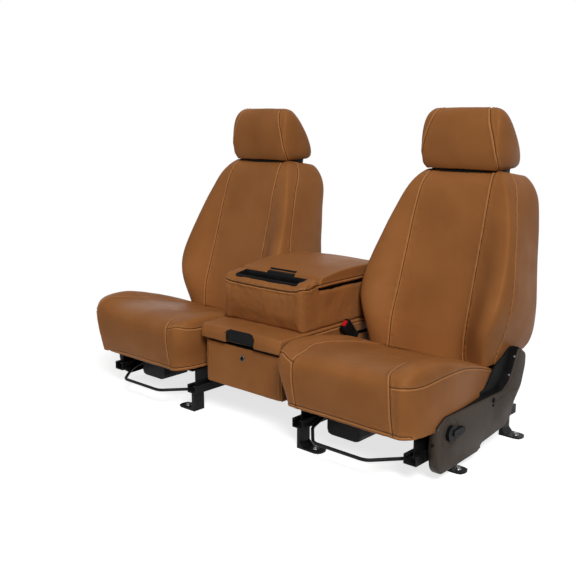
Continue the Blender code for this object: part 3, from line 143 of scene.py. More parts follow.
mottle, mottle_in, mottle_out = start_group(
    "mottle", [("Colour", (0.5, 0.5, 0.5, 1.0)), ("Shade", (0.4, 0.4, 0.4, 1.0)), ("Scale", 8.0)],
    [("Colour", "NodeSocketColor"), ("Mask", "NodeSocketFloat")])
mottle_place = mottle.nodes.new("ShaderNodeTexCoord")
mottle_noise = mottle.nodes.new("ShaderNodeTexNoise")
mottle_noise.inputs["Detail"].default_value = 5.0
mottle_noise.inputs["Roughness"].default_value = 0.55
mottle.links.new(mottle_place.outputs["Object"], mottle_noise.inputs["Vector"])
mottle.links.new(mottle_in.outputs["Scale"], mottle_noise.inputs["Scale"])
mottle_mask = remap(mottle, mottle_noise.outputs["Fac"], 0.32, 0.70, 0.0, 1.0)
mottle.links.new(mottle_mask, mottle_out.inputs["Mask"])
mottle.links.new(
    colour_mix(mottle, mottle_mask, mottle_in.outputs["Colour"], mottle_in.outputs["Shade"]),
    mottle_out.inputs["Colour"])

grain, grain_in, grain_out = start_group("grain", [("Scale", 600.0)], [("Height", "NodeSocketFloat")])
grain_place = grain.nodes.new("ShaderNodeTexCoord")
grain_cells = grain.nodes.new("ShaderNodeTexVoronoi")
grain_cells.feature = "SMOOTH_F1"
grain_noise = grain.nodes.new("ShaderNodeTexNoise")
grain_noise.inputs["Detail"].default_value = 3.0
for node in (grain_cells, grain_noise):
    grain.links.new(grain_place.outputs["Object"], node.inputs["Vector"])
    grain.links.new(grain_in.outputs["Scale"], node.inputs["Scale"])
grain.links.new(
    math_node(grain, "ADD", grain_cells.outputs["Distance"],
              math_node(grain, "MULTIPLY", grain_noise.outputs["Fac"], 0.8)),
    grain_out.inputs["Height"])


def grain_bump(tree, shader, scale, distance, strength):
    """Fine grain raised on a shader's surface."""
    pores = place_group(tree, grain, Scale=scale)
    node = tree.nodes.new("ShaderNodeBump")
    node.inputs["Distance"].default_value = distance
    node.inputs["Strength"].default_value = strength
    tree.links.new(pores.outputs["Height"], node.inputs["Height"])
    tree.links.new(node.outputs["Normal"], shader.inputs["Normal"])


def coated(name, colour, shade, scale, rough, specular=0.5, metallic=0.0, grained=None):
    """Material mottled between two colours and two roughnesses, and grained if asked."""
    material, tree, shader = start_material(name, metallic=metallic)
    shader.inputs["Specular IOR Level"].default_value = specular
    coat = place_group(tree, mottle, Colour=(*colour, 1.0), Shade=(*shade, 1.0), Scale=scale)
    tree.links.new(coat.outputs["Colour"], shader.inputs["Base Color"])
    tree.links.new(remap(tree, coat.outputs["Mask"], 0.0, 1.0, *rough), shader.inputs["Roughness"])
    if grained:
        grain_bump(tree, shader, *grained)
    return material


def paint(material, *names):
    """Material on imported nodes."""
    for name in names:
        item = solids[name]
        item.data.materials.clear()
        item.data.materials.append(material)


track_steel = coated("track_steel", (0.007, 0.007, 0.007), (0.014, 0.013, 0.013), 26.0, (0.30, 0.52), 0.10,
                     grained=(420.0, 0.0002, 0.5))
for seat in seats:
    for part in ("inboard_lower_rail", "outboard_lower_rail", "inboard_upper_rail", "outboard_upper_rail",
                 "cushion_pan", "inboard_recliner", "outboard_recliner", "back_frame"):
        paint(track_steel, seat + "_" + part)
paint(track_steel, "centre_carrier")

# Bolts through the feet.
# Flanged hexagon heads in zinc, one through each foot's hole, turned down onto the steel.
FOOT_BOLT, FOOT_PLATE = 0.0105, 0.0062
bolt_zinc = coated("bolt_zinc", (0.34, 0.34, 0.35), (0.20, 0.20, 0.21), 160.0, (0.24, 0.42), metallic=1.0)


def mesh_data(name, mesh):
    """Mesh data from a bmesh, which is freed."""
    data = bpy.data.meshes.new(name)
    mesh.to_mesh(data)
    mesh.free()
    return data


def add_object(name, data):
    """New object in the scene for its data."""
    item = bpy.data.objects.new(name, data)
    bpy.context.scene.collection.objects.link(item)
    return item


def finish_piece(name, mesh, material, body, angle=35.0):
    """Object from a bmesh, shaded smooth up to an angle, riding on a body if one is named."""
    data = mesh_data(name, mesh)
    data.shade_smooth()
    data.set_sharp_from_angle(angle=math.radians(angle))
    data.materials.append(material)
    item = add_object(name, data)
    if body:
        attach(item, body)
    return item


def round_edges(mesh, edges, offset, segments, clamped=False):
    """Edges bevelled on a round profile."""
    bmesh.ops.bevel(mesh, geom=edges, offset=offset, segments=segments, profile=0.5, affect="EDGES",
                    material=-1, clamp_overlap=clamped)


def standing(place, way):
    """Frame at a place, with its Z along a way."""
    turn = Vector((0, 0, 1)).rotation_difference(Vector(way)).to_matrix().to_4x4()
    return Matrix.Translation(place) @ turn


def add_bolt(mesh, place, way, size):
    """Flanged hexagon head on a place, standing along a way."""
    base = standing(place, way)
    bmesh.ops.create_cone(
        mesh, cap_ends=True, segments=24, radius1=size, radius2=0.86 * size, depth=0.18 * size,
        matrix=base @ Matrix.Translation((0, 0, 0.09 * size)))
    head = bmesh.ops.create_cone(
        mesh, cap_ends=True, segments=6, radius1=0.72 * size, radius2=0.70 * size, depth=0.55 * size,
        matrix=base @ Matrix.Translation((0, 0, 0.45 * size)))["verts"]
    round_edges(mesh, list({edge for vert in head for edge in vert.link_edges}), 0.06 * size, 2)


foot_bolts = bmesh.new()
for side in seats.values():
    for across, places in ((-0.1623, (-0.3065, 0.2335)), (0.2584, (-0.1365, 0.2335))):
        for along in places:
            add_bolt(foot_bolts, (side * (SEAT_X + across), along, FOOT_PLATE), (0, 0, 1), FOOT_BOLT)
finish_piece("foot_bolts", foot_bolts, bolt_zinc, "bench_base")

# Adjuster bars under the cushions' front edges.
# One length of round steel bent into a wide loop, coated black, its ends turned into the upper rails.
BAR_RADIUS, BAR_BEND = 0.0056, 0.020
HALF_LOOP = [
    (0.2176, -0.1265, 0.125), (0.185, -0.1265, 0.125), (0.185, -0.2965, 0.070), (0.100, -0.3945, 0.070)]


def take_shape(item):
    """Bmesh of a temporary object as its modifiers leave it; the object is removed."""
    mesh = bmesh.new()
    mesh.from_mesh(item.evaluated_get(bpy.context.evaluated_depsgraph_get()).to_mesh())
    bpy.data.objects.remove(item)
    return mesh


def tube_along(points, radius, bend, sides=16, steps=8):
    """Mesh of a round bar through points, each inner corner bent on a smooth arc."""
    route = [Vector(points[0])]
    for before, corner, after in zip(points, points[1:], points[2:]):
        corner = Vector(corner)
        back, ahead = Vector(before) - corner, Vector(after) - corner
        reach = min(bend, 0.45 * back.length, 0.45 * ahead.length)
        start, end = corner + back.normalized() * reach, corner + ahead.normalized() * reach
        for step in range(steps + 1):
            t = step / steps
            route.append(start * (1 - t) ** 2 + corner * (2 * t * (1 - t)) + end * t ** 2)
    route.append(Vector(points[-1]))
    curve = bpy.data.curves.new("bar_route", "CURVE")
    curve.dimensions = "3D"
    curve.bevel_depth = radius
    curve.bevel_resolution = sides // 4
    curve.use_fill_caps = True
    spline = curve.splines.new("POLY")
    spline.points.add(len(route) - 1)
    for knot, place in zip(spline.points, route):
        knot.co = (*place, 1.0)
    mesh = take_shape(add_object("bar_route", curve))
    bpy.data.curves.remove(curve)
    bmesh.ops.remove_doubles(mesh, verts=mesh.verts, dist=0.00001)
    bmesh.ops.recalc_face_normals(mesh, faces=mesh.faces)
    return mesh


for seat, side in seats.items():
    loop = HALF_LOOP + [(-across, along, up) for across, along, up in reversed(HALF_LOOP)]
    loop = [(side * SEAT_X + across, along, up) for across, along, up in loop]
    bar = tube_along(loop, BAR_RADIUS, BAR_BEND)
    bar = finish_piece(seat + "_adjuster_loop", bar, track_steel, seat + "_adjuster", 60.0)
    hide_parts(seat + "_adjuster_bar")

# Side shields over the outboard tracks.
# Each is one hollow moulding in dark warm grey plastic with a fine grained face and a rolled rim: level along
# the top, stepped along the foot, with a tower over the recliner.
SHIELD_INNER, SHIELD_SPLIT, SHIELD_SHADE_LIP, SHIELD_FACE, SHIELD_WALL = 0.2415, 0.2470, 0.2670, 0.2750, 0.0030
SHIELD_OUTLINE = [
    (-0.260, 0.030), (-0.042, 0.037), (-0.030, 0.057), (0.118, 0.072), (0.154, 0.090), (0.178, 0.142),
    (0.221, 0.186), (0.244, 0.252), (0.244, 0.293), (0.199, 0.320), (0.170, 0.262), (0.142, 0.218),
    (0.100, 0.196), (-0.240, 0.200), (-0.283, 0.178), (-0.293, 0.108), (-0.283, 0.053)]
SAME_PLANE = 0.0001
shield_plastic = coated("shield_plastic", (0.056, 0.042, 0.033), (0.045, 0.034, 0.027), 7.0, (0.44, 0.56),
                        0.12, grained=(750.0, 0.00025, 0.6))


def lying_at(parts, x):
    """Edges or faces that lie in one plane across X."""
    return [part for part in parts if all(abs(vert.co.x - x) < SAME_PLANE for vert in part.verts)]


def moulded_plate(side, outline, inner, outer, corner, roll):
    """Plate with an outline along Y and Z, its corners rounded and the rim of its outer face rolled over."""
    mesh = bmesh.new()
    face = mesh.faces.new([mesh.verts.new((side * (SEAT_X + inner), along, up)) for along, up in outline])
    grown = bmesh.ops.extrude_face_region(mesh, geom=[face])["geom"]
    moved = [item for item in grown if isinstance(item, bmesh.types.BMVert)]
    bmesh.ops.translate(mesh, verts=moved, vec=(side * (outer - inner), 0, 0))
    bmesh.ops.recalc_face_normals(mesh, faces=mesh.faces)
    upright = [edge for edge in mesh.edges if abs(edge.verts[0].co.x - edge.verts[1].co.x) > 0.001]
    round_edges(mesh, upright, corner, 5, True)
    round_edges(mesh, lying_at(mesh.edges, side * (SEAT_X + outer)), roll, 4)
    return mesh


for seat, side in seats.items():
    shell = moulded_plate(side, SHIELD_OUTLINE, SHIELD_SPLIT, SHIELD_FACE, 0.014, 0.0075)
    inside = lying_at(shell.faces, side * (SEAT_X + SHIELD_SPLIT))
    bmesh.ops.delete(shell, geom=inside, context="FACES")
    cover = finish_piece(seat + "_shield", shell, shield_plastic, seat + "_seat", 40.0)
    wall = cover.modifiers.new("wall", "SOLIDIFY")
    wall.thickness, wall.offset = SHIELD_WALL, -1.0
    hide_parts(seat + "_side_shield")

# Fittings of the side shields.
# A black inner cover closes each shield round the recliner, and a black lip with two zinc bolts follows its
# top and tower; the lip is partly the shield's black inner wall and partly painted shade, a dark strip
# standing in for the shadowed gap between shield and cushion. Beads ring the lever and the clip, a mould line
# runs rearward, and a screw holds the front.
COVER_OUTLINE = [
    (-0.276, 0.196), (-0.250, 0.2175), (0.030, 0.214), (0.065, 0.248), (0.090, 0.279), (0.140, 0.296),
    (0.188, 0.324), (0.235, 0.295), (0.232, 0.250), (0.208, 0.186), (0.130, 0.128), (0.050, 0.196)]
SHADE_LIP_OUTLINE = [
    (-0.285, 0.1785), (-0.2405, 0.2014), (0.0992, 0.1974), (0.1408, 0.2188), (0.1688, 0.2628),
    (0.1985, 0.3215), (0.245, 0.2935), (0.238, 0.289), (0.201, 0.312), (0.179, 0.257), (0.150, 0.212),
    (0.104, 0.188), (-0.237, 0.192), (-0.276, 0.172)]
MOULD_LINE = [(0.042, 0.172), (0.090, 0.180), (0.150, 0.186), (0.206, 0.179)]
LEVER_SPOT, CLIP_SPOT, CLIP_FOOT = (-0.2215, 0.150), (0.033, 0.184), (0.033, 0.167)
RINGS = ((LEVER_SPOT, 0.046, 0.0012), (LEVER_SPOT, 0.026, 0.0010), (CLIP_SPOT, 0.0100, 0.0012))
CLIP_SUNK, BOLT_INSET = 0.0012, 0.0052
black_trim = coated("black_trim", (0.006, 0.006, 0.006), (0.011, 0.010, 0.010), 30.0, (0.42, 0.58), 0.06)


def ring_bead(mesh, place, way, radius, bead):
    """Round bead in a ring about a place, standing on a face that looks along a way."""
    earlier = set(mesh.verts)
    made = bmesh.ops.create_circle(mesh, cap_ends=False, segments=10, radius=bead)["verts"]
    bmesh.ops.rotate(mesh, verts=made, cent=(0, 0, 0), matrix=Matrix.Rotation(math.radians(90), 3, "X"))
    bmesh.ops.translate(mesh, verts=made, vec=(radius, 0, 0))
    edges = list({edge for vert in made for edge in vert.link_edges})
    bmesh.ops.spin(
        mesh, geom=made + edges, cent=(0, 0, 0), axis=(0, 0, 1), angle=2 * math.pi, steps=48, use_merge=True)
    ring = [vert for vert in mesh.verts if vert not in earlier]
    bmesh.ops.transform(mesh, verts=ring, matrix=standing(place, way))
    bmesh.ops.recalc_face_normals(mesh, faces=mesh.faces)


for seat, side in seats.items():
    face_x = side * (SEAT_X + SHIELD_FACE)
    lining = moulded_plate(side, COVER_OUTLINE, SHIELD_INNER, SHIELD_SPLIT + 0.0004, 0.010, 0.0016)
    finish_piece(seat + "_recliner_cover", lining, black_trim, seat + "_seat", 40.0)
    # Black lip: partly the shield's inner wall, partly painted shade for the shadowed gap beside the cushion.
    shade_lip = moulded_plate(side, SHADE_LIP_OUTLINE, SHIELD_SPLIT, SHIELD_SHADE_LIP, 0.012, 0.0008)
    finish_piece(seat + "_shield_shade_lip", shade_lip, black_trim, seat + "_seat", 40.0)
    beads = bmesh.new()
    for spot, radius, bead in RINGS:
        ring_bead(beads, (face_x, *spot), (side, 0, 0), radius, bead)
    finish_piece(seat + "_shield_beads", beads, shield_plastic, seat + "_seat", 60.0)
    mould = tube_along([(face_x, along, up) for along, up in MOULD_LINE], 0.0013, 0.03, 8)
    finish_piece(seat + "_shield_line", mould, shield_plastic, seat + "_seat", 60.0)
    fixings = bmesh.new()
    for spot, size in ((CLIP_SPOT, 0.0088), (CLIP_FOOT, 0.0066)):
        add_bolt(fixings, (face_x - side * CLIP_SUNK, *spot), (side, 0, 0), size)
    add_bolt(fixings, (side * (SEAT_X + 0.2600), -0.2905, 0.128), (0, -1, 0), 0.0058)
    finish_piece(seat + "_shield_fixings", fixings, black_trim, seat + "_seat")
    bolts = bmesh.new()
    for along, up, way in ((0.1510, 0.2356, (0, -0.844, 0.537)), (0.1822, 0.2902, (0, -0.892, 0.451))):
        add_bolt(bolts, (side * (SEAT_X + SHIELD_SHADE_LIP - BOLT_INSET), along, up), way, 0.0046)
    finish_piece(seat + "_recliner_bolts", bolts, bolt_zinc, seat + "_seat")

# Recline levers, buckles, latches and other small black mouldings.
# Injection moulded in satin black plastic with a light grain.
black_plastic = coated("black_plastic", (0.005, 0.005, 0.005), (0.009, 0.009, 0.009), 40.0, (0.30, 0.46),
                       0.07, grained=(900.0, 0.00015, 0.5))
for seat in seats:
    paint(black_plastic, seat + "_recline_lever", seat + "_buckle", seat + "_inboard_post_sleeve",
          seat + "_outboard_post_sleeve")
paint(black_plastic, "storage_bin", "bin_lock", "centre_board", "centre_latch", "armrest_tub", "armrest_tray",
      "armrest_lid_board", "armrest_lid_latch")

# Buckle buttons.
# Glossy red moulding that slides in the top of the buckle.
button_red = coated("button_red", (0.60, 0.008, 0.014), (0.50, 0.006, 0.010), 60.0, (0.24, 0.36))
for seat in seats:
    paint(button_red, seat + "_buckle_button")

# Head restraint rods and the hinge rods.
# Drawn steel, plated bright, with a faint cloud in its shine.
rod_steel = coated("rod_steel", (0.46, 0.46, 0.47), (0.38, 0.38, 0.39), 220.0, (0.16, 0.30), metallic=1.0)
for seat in seats:
    paint(rod_steel, seat + "_head_posts")
paint(rod_steel, "hinge_rod", "lid_hinge_pin")

# Seat cushions in their covers.
# Foam under a caramel leatherette cover cut in panels: the middle panel falls over the front edge, and a
# bolster panel and a side panel are sewn on each side, with topstitching along every seam.
CUSHION_FRONT, CUSHION_LENGTH, CUSHION_HEM, CUSHION_UNDER, HEM_SEAM = -0.4210, 0.5300, 0.1645, 0.1915, 0.178
SEAM_PITCH, SEAM_PASSES, SEAM_MARK, SEAM_CLEAR, SEAM_PULL = 0.0015, 6, 0.014, 0.5, 0.040
RIDGE_PLACE, RIDGE_WIDTH, GATHER_PLACE, GATHER_WIDTH, GATHER_SCALE = 0.0068, 0.0032, 0.010, 0.012, 62.0
STITCH_PITCH, STITCH_RISE = 0.0062, 0.0001
STITCH_SHAPE = Matrix.Diagonal((0.0021, 0.00055, 0.00045, 1.0))
WIDE_ROWS, CLOSE_ROWS, PIPED_ROW = (-0.0042, 0.0042), (-0.0036, 0.0036), (-0.0050,)

leatherette, tree, shader = start_material("leatherette")
hide = place_group(
    tree, mottle, Colour=(0.300, 0.117, 0.036, 1.0), Shade=(0.255, 0.097, 0.029, 1.0), Scale=5.0)
sewn = tree.nodes.new("ShaderNodeAttribute")
sewn.attribute_name = "seam"
beside = math_node(tree, "ABSOLUTE", sewn.outputs["Fac"], 0.0)
# Painted shade: the groove along each seam is darkened to a deep brown, as if in shadow.
groove_shade = remap(tree, beside, 0.0007, 0.0020, 1.0, 0.0)
# Painted highlight: a band a few millimetres beside each seam is lightened towards pale tan, as on a lit
# ridge.
highlight_rise = remap(tree, beside, 0.0016, 0.0030, 0.0, 1.0)
highlight_fall = remap(tree, beside, 0.0040, 0.0075, 1.0, 0.0)
seam_highlight = colour_mix(
    tree, math_node(tree, "MULTIPLY", math_node(tree, "MULTIPLY", highlight_rise, highlight_fall), 0.46),
    hide.outputs["Colour"], (0.52, 0.235, 0.085, 1.0))
tree.links.new(colour_mix(tree, groove_shade, seam_highlight, (0.075, 0.027, 0.008, 1.0)), shader.inputs["Base Color"])
tree.links.new(remap(tree, hide.outputs["Mask"], 0.0, 1.0, 0.42, 0.53), shader.inputs["Roughness"])
grain_bump(tree, shader, 820.0, 0.00022, 0.55)
shader.inputs["Specular IOR Level"].default_value = 0.12
shader.inputs["Specular Tint"].default_value = (1.0, 0.60, 0.30, 1.0)

thread = coated("sewing_thread", (0.31, 0.127, 0.042), (0.25, 0.100, 0.032), 900.0, (0.5, 0.7))


def both_sides(*outs):
    """Cuts across a unit cube: the middle, and shares of the half width on both sides of it."""
    return sorted([0.5] + [(1 + hand * out) / 2 for out in outs for hand in (-1, 1)])


def lattice(across, deep, high):
    """Unit cube cut by planes across each axis, ready to be shaped."""
    mesh = bmesh.new()
    bmesh.ops.create_cube(mesh, size=1.0, matrix=Matrix.Translation((0.5, 0.5, 0.5)))
    for axis, cuts in enumerate((across, deep, high)):
        for place in cuts:
            point, normal = Vector((0, 0, 0)), Vector((0, 0, 0))
            point[axis], normal[axis] = place, 1.0
            everything = mesh.verts[:] + mesh.edges[:] + mesh.faces[:]
            bmesh.ops.bisect_plane(mesh, geom=everything, dist=0.00001, plane_co=point, plane_no=normal)
    return mesh


def crease_hem(cage, amount):
    """Crease round the foot of a cut unit cube, so that its hem isn't rounded off."""
    crease = cage.edges.layers.float.new("crease_edge")
    for edge in cage.edges:
        low = all(vert.co.z < 0.01 for vert in edge.verts)
        rim = any(all(abs(vert.co[axis] - limit) < 0.01 for vert in edge.verts)
                  for axis in (0, 1) for limit in (0, 1))
        edge[crease] = amount if low and rim else 0.0


def eased(stops, place):
    """Value between stops on a smooth curve that passes through each of them."""
    if place <= stops[0][0]:
        return stops[0][1]
    if place >= stops[-1][0]:
        return stops[-1][1]
    slopes = []
    for index in range(len(stops)):
        low, high = stops[max(0, index - 1)], stops[min(len(stops) - 1, index + 1)]
        slopes.append((high[1] - low[1]) / (high[0] - low[0]))
    for index, (start, end) in enumerate(zip(stops, stops[1:])):
        if place <= end[0]:
            span = end[0] - start[0]
            t = (place - start[0]) / span
            return (start[1] * (1 + 2 * t) * (1 - t) ** 2 + slopes[index] * span * t * (1 - t) ** 2
                    + end[1] * t * t * (3 - 2 * t) + slopes[index + 1] * span * t * t * (t - 1))


def ease(low, high, value):
    """Share from 0 to 1 between two values, with soft ends."""
    t = min(1.0, max(0.0, (value - low) / (high - low)))
    return t * t * (3 - 2 * t)


def round_out(cage, levels):
    """Cage rounded by subdivision into a dense mesh."""
    data = mesh_data("cage", cage)
    item = add_object("cage", data)
    rounding = item.modifiers.new("rounding", "SUBSURF")
    rounding.levels = rounding.render_levels = levels
    mesh = take_shape(item)
    bpy.data.meshes.remove(data)
    bmesh.ops.recalc_face_normals(mesh, faces=mesh.faces)
    return mesh


def ripple(mesh, amount, size, shift):
    """Shallow waves over a dense mesh, as in a skin that is pulled unevenly."""
    mesh.normal_update()
    for vert in mesh.verts:
        vert.co += vert.normal * amount * noise.noise(vert.co / size + Vector((shift, 0, 0)))


def seam_route(surface, knots):
    """Points along a smooth curve through knots, laid on a surface and evened out."""
    knots = [surface.find_nearest(Vector(knot))[0] for knot in knots]
    points = []
    for index in range(len(knots) - 1):
        before, start, end = knots[max(0, index - 1)], knots[index], knots[index + 1]
        after = knots[min(len(knots) - 1, index + 2)]
        steps = max(2, int((end - start).length / SEAM_PITCH))
        for step in range(steps):
            t = step / steps
            points.append(0.5 * (2 * start + (end - before) * t
                                 + (2 * before - 5 * start + 4 * end - after) * t * t
                                 + (3 * start - before - 3 * end + after) * t ** 3))
    points.append(knots[-1])
    points = [surface.find_nearest(point)[0] for point in points]
    for _ in range(SEAM_PASSES):
        fives = zip(points, points[1:], points[2:], points[3:], points[4:])
        inner = [(a + b + c + d + e) / 5 for a, b, c, d, e in fives]
        points[2:-2] = [surface.find_nearest(point)[0] for point in inner]
    return points


def sew(mesh, seams, depth=0.0024, ridge=0.0011, reach=0.0030, gather=0.0009):
    """Seams pressed into a dense mesh, which keeps each point's distance from them; returns their routes."""
    mesh.normal_update()
    surface = BVHTree.FromBMesh(mesh)
    routes = [seam_route(surface, knots) for knots in seams]
    places = [point for route in routes for point in route]
    headings = [after - before for route in routes
                for before, after in zip(route[:1] + route[:-1], route[1:] + route[-1:])]
    finder = KDTree(len(places))
    for index, point in enumerate(places):
        finder.insert(point, index)
    finder.balance()
    layer = mesh.verts.layers.float.new("seam")
    for vert in mesh.verts:
        point, index, far = finder.find(vert.co)
        hand = math.copysign(1.0, headings[index].cross(vert.co - point).dot(vert.normal))
        vert[layer] = hand * (far if far < SEAM_MARK else SEAM_CLEAR)
        if far < SEAM_PULL:
            lift = ridge * math.exp(-((far - RIDGE_PLACE) / RIDGE_WIDTH) ** 2)
            lift -= depth * math.exp(-(far / reach) ** 2)
            fold = math.exp(-((far - GATHER_PLACE) / GATHER_WIDTH) ** 2)
            pucker = gather * noise.noise(vert.co * GATHER_SCALE) * fold
            vert.co += vert.normal * (lift + pucker)
    return routes


def surface_of(item):
    """Search tree over the faces of a finished piece."""
    return BVHTree.FromPolygons([vert.co for vert in item.data.vertices],
                                [face.vertices[:] for face in item.data.polygons])


def stitch(name, item, routes, rows, body):
    """Topstitches in rows beside seam routes, lying on a finished piece."""
    surface = surface_of(item)
    stitches = bmesh.new()
    for route in routes:
        travelled = 0.0
        for before, after in zip(route, route[1:]):
            step = after - before
            travelled += step.length
            if travelled < STITCH_PITCH or step.length < 0.00001:
                continue
            travelled = 0.0
            heading = step.normalized()
            beside = heading.cross(surface.find_nearest(after)[1]).normalized()
            for row in rows:
                place, normal, _, _ = surface.find_nearest(after + beside * row)
                lie = (heading - normal * heading.dot(normal)).normalized()
                turn = Matrix((lie, normal.cross(lie), normal)).transposed().to_4x4()
                bmesh.ops.create_icosphere(
                    stitches, subdivisions=1, radius=1.0,
                    matrix=Matrix.Translation(place + normal * STITCH_RISE) @ turn @ STITCH_SHAPE)
    finish_piece(name, stitches, thread, body, 80.0)


def finish_skin(name, mesh, body):
    """Finished piece of leatherette."""
    return finish_piece(name, mesh, leatherette, body, 60.0)


def on_seat(side, line):
    """Points measured outboard from a seat's middle, placed on that seat."""
    return [(side * (SEAT_X + across), along, up) for across, along, up in line]


def cushion_point(share, length, height):
    """Place on a seat cushion, measured from the seat's middle, for a point of the unit cube."""
    across = 2 * share - 1
    out = abs(across)
    half = eased([(0, 0.222), (0.05, 0.244), (0.14, 0.260), (0.45, 0.265), (0.75, 0.250), (1, 0.232)], length)
    if across > 0:
        half += 0.013 * (1 - ease(0.0, 0.24, length))
    top = eased([(0, 0.330), (0.05, 0.344), (0.14, 0.352), (0.3, 0.347), (0.62, 0.310), (1, 0.262)], length)
    rise = eased([(0, 0), (0.25, 0.011), (0.62, 0.024), (0.80, 0.014), (0.92, 0.002), (1, -0.006)], length)
    if across > 0:
        rise += 0.023 * (1 - ease(0.25, 0.65, length))
    top += rise * ease(0.58, 0.82, out) * (1.0 - 0.35 * ease(0.86, 1.0, out))
    top -= 0.004 * ease(0.55, 0.68, out) * (1 - ease(0.68, 0.8, out))
    hem = CUSHION_UNDER if height < 0.01 and out < 0.98 and length > 0.10 else CUSHION_HEM
    up = hem + (top - hem) * height
    foot = 0.945 + 0.045 * ease(0.0, 0.12, length) if across > 0 else 0.900
    side = eased([(0.0, foot), (0.28, foot + 0.012), (0.55, 0.988), (0.85, 1.0), (1.0, 0.972)], height)
    tuck = 0.022 * (1 - height) ** 2 * (1 - ease(0.0, 0.25, length))
    front = 0.010 * ease(0.85, 1.0, height) * (1 - ease(0.0, 0.12, length))
    return across * half * side, CUSHION_FRONT + CUSHION_LENGTH * length + tuck + front, up


for seat, side in seats.items():
    cage = lattice(both_sides(0.35, 0.66, 0.82, 0.94), (0.045, 0.14, 0.30, 0.48, 0.66, 0.82, 0.95),
                   (0.28, 0.58, 0.86))
    crease_hem(cage, 0.75)
    for vert in cage.verts:
        vert.co = on_seat(side, [cushion_point(*vert.co)])[0]
    pad = round_out(cage, 4)
    seams = []
    for across in (-0.166, 0.196) if side > 0 else (0.222, -0.180):
        out = 1 if across > 0 else -1
        seams.append(on_seat(side, [
            (across, -0.395, 0.170), (across, -0.405, 0.230), (across, -0.419, 0.300),
            (across - out * 0.004, -0.405, 0.336), (across - out * 0.012, -0.370, 0.346),
            (out * 0.172, -0.28, 0.348), (out * 0.168, -0.15, 0.328), (out * 0.165, 0.0, 0.286),
            (out * 0.160, 0.105, 0.262)]))
        seams.append(on_seat(side, [
            (across, -0.418, 0.320), (across + out * 0.028, -0.400, 0.321), (out * 0.248, -0.345, 0.320),
            (out * 0.258, -0.25, 0.324), (out * 0.261, -0.15, 0.321), (out * 0.259, -0.07, 0.309),
            (out * 0.250, 0.02, 0.288), (out * 0.236, 0.095, 0.262)]))
    seams.append(on_seat(side, [(across, along, HEM_SEAM) for across, along in (
        (-0.236, -0.15), (-0.236, -0.30), (-0.205, -0.385), (-0.10, -0.400), (0.10, -0.400), (0.215, -0.388),
        (0.250, -0.30), (0.250, -0.15))]))
    ripple(pad, 0.0013, 0.070, 2.0 * side)
    routes = sew(pad, seams)
    cushion = finish_skin(seat + "_cushion", pad, seat + "_seat")
    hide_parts(seat + "_cushion_cover", seat + "_cushion_foam")
    stitch(seat + "_cushion_stitching", cushion, routes, WIDE_ROWS, seat + "_seat")

# Seat backs in their covers.
# A middle panel runs from hem to shoulder between two tapering bolster panels, and a side panel closes each
# flank; the cover is pulled down over the foam and fastened under the hem.
LEAN = math.radians(14.0)
BACK_FOOT, BACK_HEIGHT, BACK_BOLSTER = 0.004, 0.624, 0.064
MIDDLE_SEAM = [
    (0.150, -0.128, 0.008), (0.150, -0.132, 0.05), (0.147, -0.145, 0.12), (0.142, -0.14, 0.22),
    (0.139, -0.135, 0.34), (0.136, -0.13, 0.46), (0.132, -0.12, 0.56), (0.125, -0.10, 0.605),
    (0.116, -0.06, 0.624)]
FLANK_SEAM = [
    (0.222, -0.095, 0.012), (0.227, -0.097, 0.05), (0.237, -0.105, 0.114), (0.254, -0.124, 0.187),
    (0.262, -0.130, 0.300), (0.250, -0.118, 0.410), (0.218, -0.095, 0.512), (0.192, -0.075, 0.562),
    (0.165, -0.058, 0.597), (0.140, -0.045, 0.618)]
back_place = {seat: Matrix.Translation((side * SEAT_X, 0.1935, 0.235)) @ Matrix.Rotation(-LEAN, 4, "X")
              for seat, side in seats.items()}


def back_point(share, deep, rise):
    """Place on a seat back in its own leaning frame, for a point of the unit cube."""
    across = 2 * share - 1
    out = abs(across)
    up = BACK_FOOT + BACK_HEIGHT * rise
    half = eased(
        [(0, 0.230), (0.06, 0.237), (0.10, 0.247), (0.15, 0.271), (0.20, 0.280), (0.28, 0.275), (0.36, 0.262),
         (0.43, 0.246), (0.51, 0.219), (0.565, 0.194), (0.60, 0.170), (0.628, 0.142)], up)
    half += deep * eased(
        [(0, 0.008), (0.08, 0.010), (0.13, 0.002), (0.20, -0.012), (0.30, -0.012), (0.40, -0.006),
         (0.50, 0.010), (0.57, 0.030), (0.628, 0.034)], up)
    if across < 0:
        half -= 0.006 * ease(0.20, 0.36, up) * (1 - ease(0.52, 0.60, up))
    front = eased(
        [(0.0, -0.125), (0.16, -0.140), (0.35, -0.131), (0.51, -0.127), (0.565, -0.122), (0.60, -0.109),
         (0.628, -0.083)], up)
    rear = eased(
        [(0, 0.148), (0.06, 0.149), (0.12, 0.142), (0.22, 0.122), (0.35, 0.106), (0.51, 0.101),
         (0.565, 0.097), (0.60, 0.086), (0.628, 0.056)], up)
    bolster = BACK_BOLSTER * eased(
        [(0.0, 0.30), (0.06, 0.70), (0.12, 0.98), (0.22, 0.95), (0.32, 0.68), (0.50, 0.18), (0.60, 0.0)], up)
    if across > 0:
        bolster += 0.012 * ease(0.02, 0.08, up) * (1 - ease(0.13, 0.22, up))
    crest = ease(0.52, 0.86, out) * (1.0 - 0.12 * ease(0.93, 1.0, out))
    fade = eased([(0.0, 1.0), (0.13, 0.55), (0.38, 0.10), (0.66, 0.0), (1.0, 0.0)], deep)
    along = front + deep * (rear - front) - bolster * crest * fade
    side = eased([(0.0, 0.985), (0.13, 1.0), (0.62, 0.992), (0.86, 0.970), (1.0, 0.900)], deep)
    low = max(0.0, 1.0 - (up - BACK_FOOT) / 0.10)
    lift = (0.012 + 0.012 * deep) * ease(0.45, 0.628, up)
    return across * half * side, along, up + 0.082 * low * deep + lift


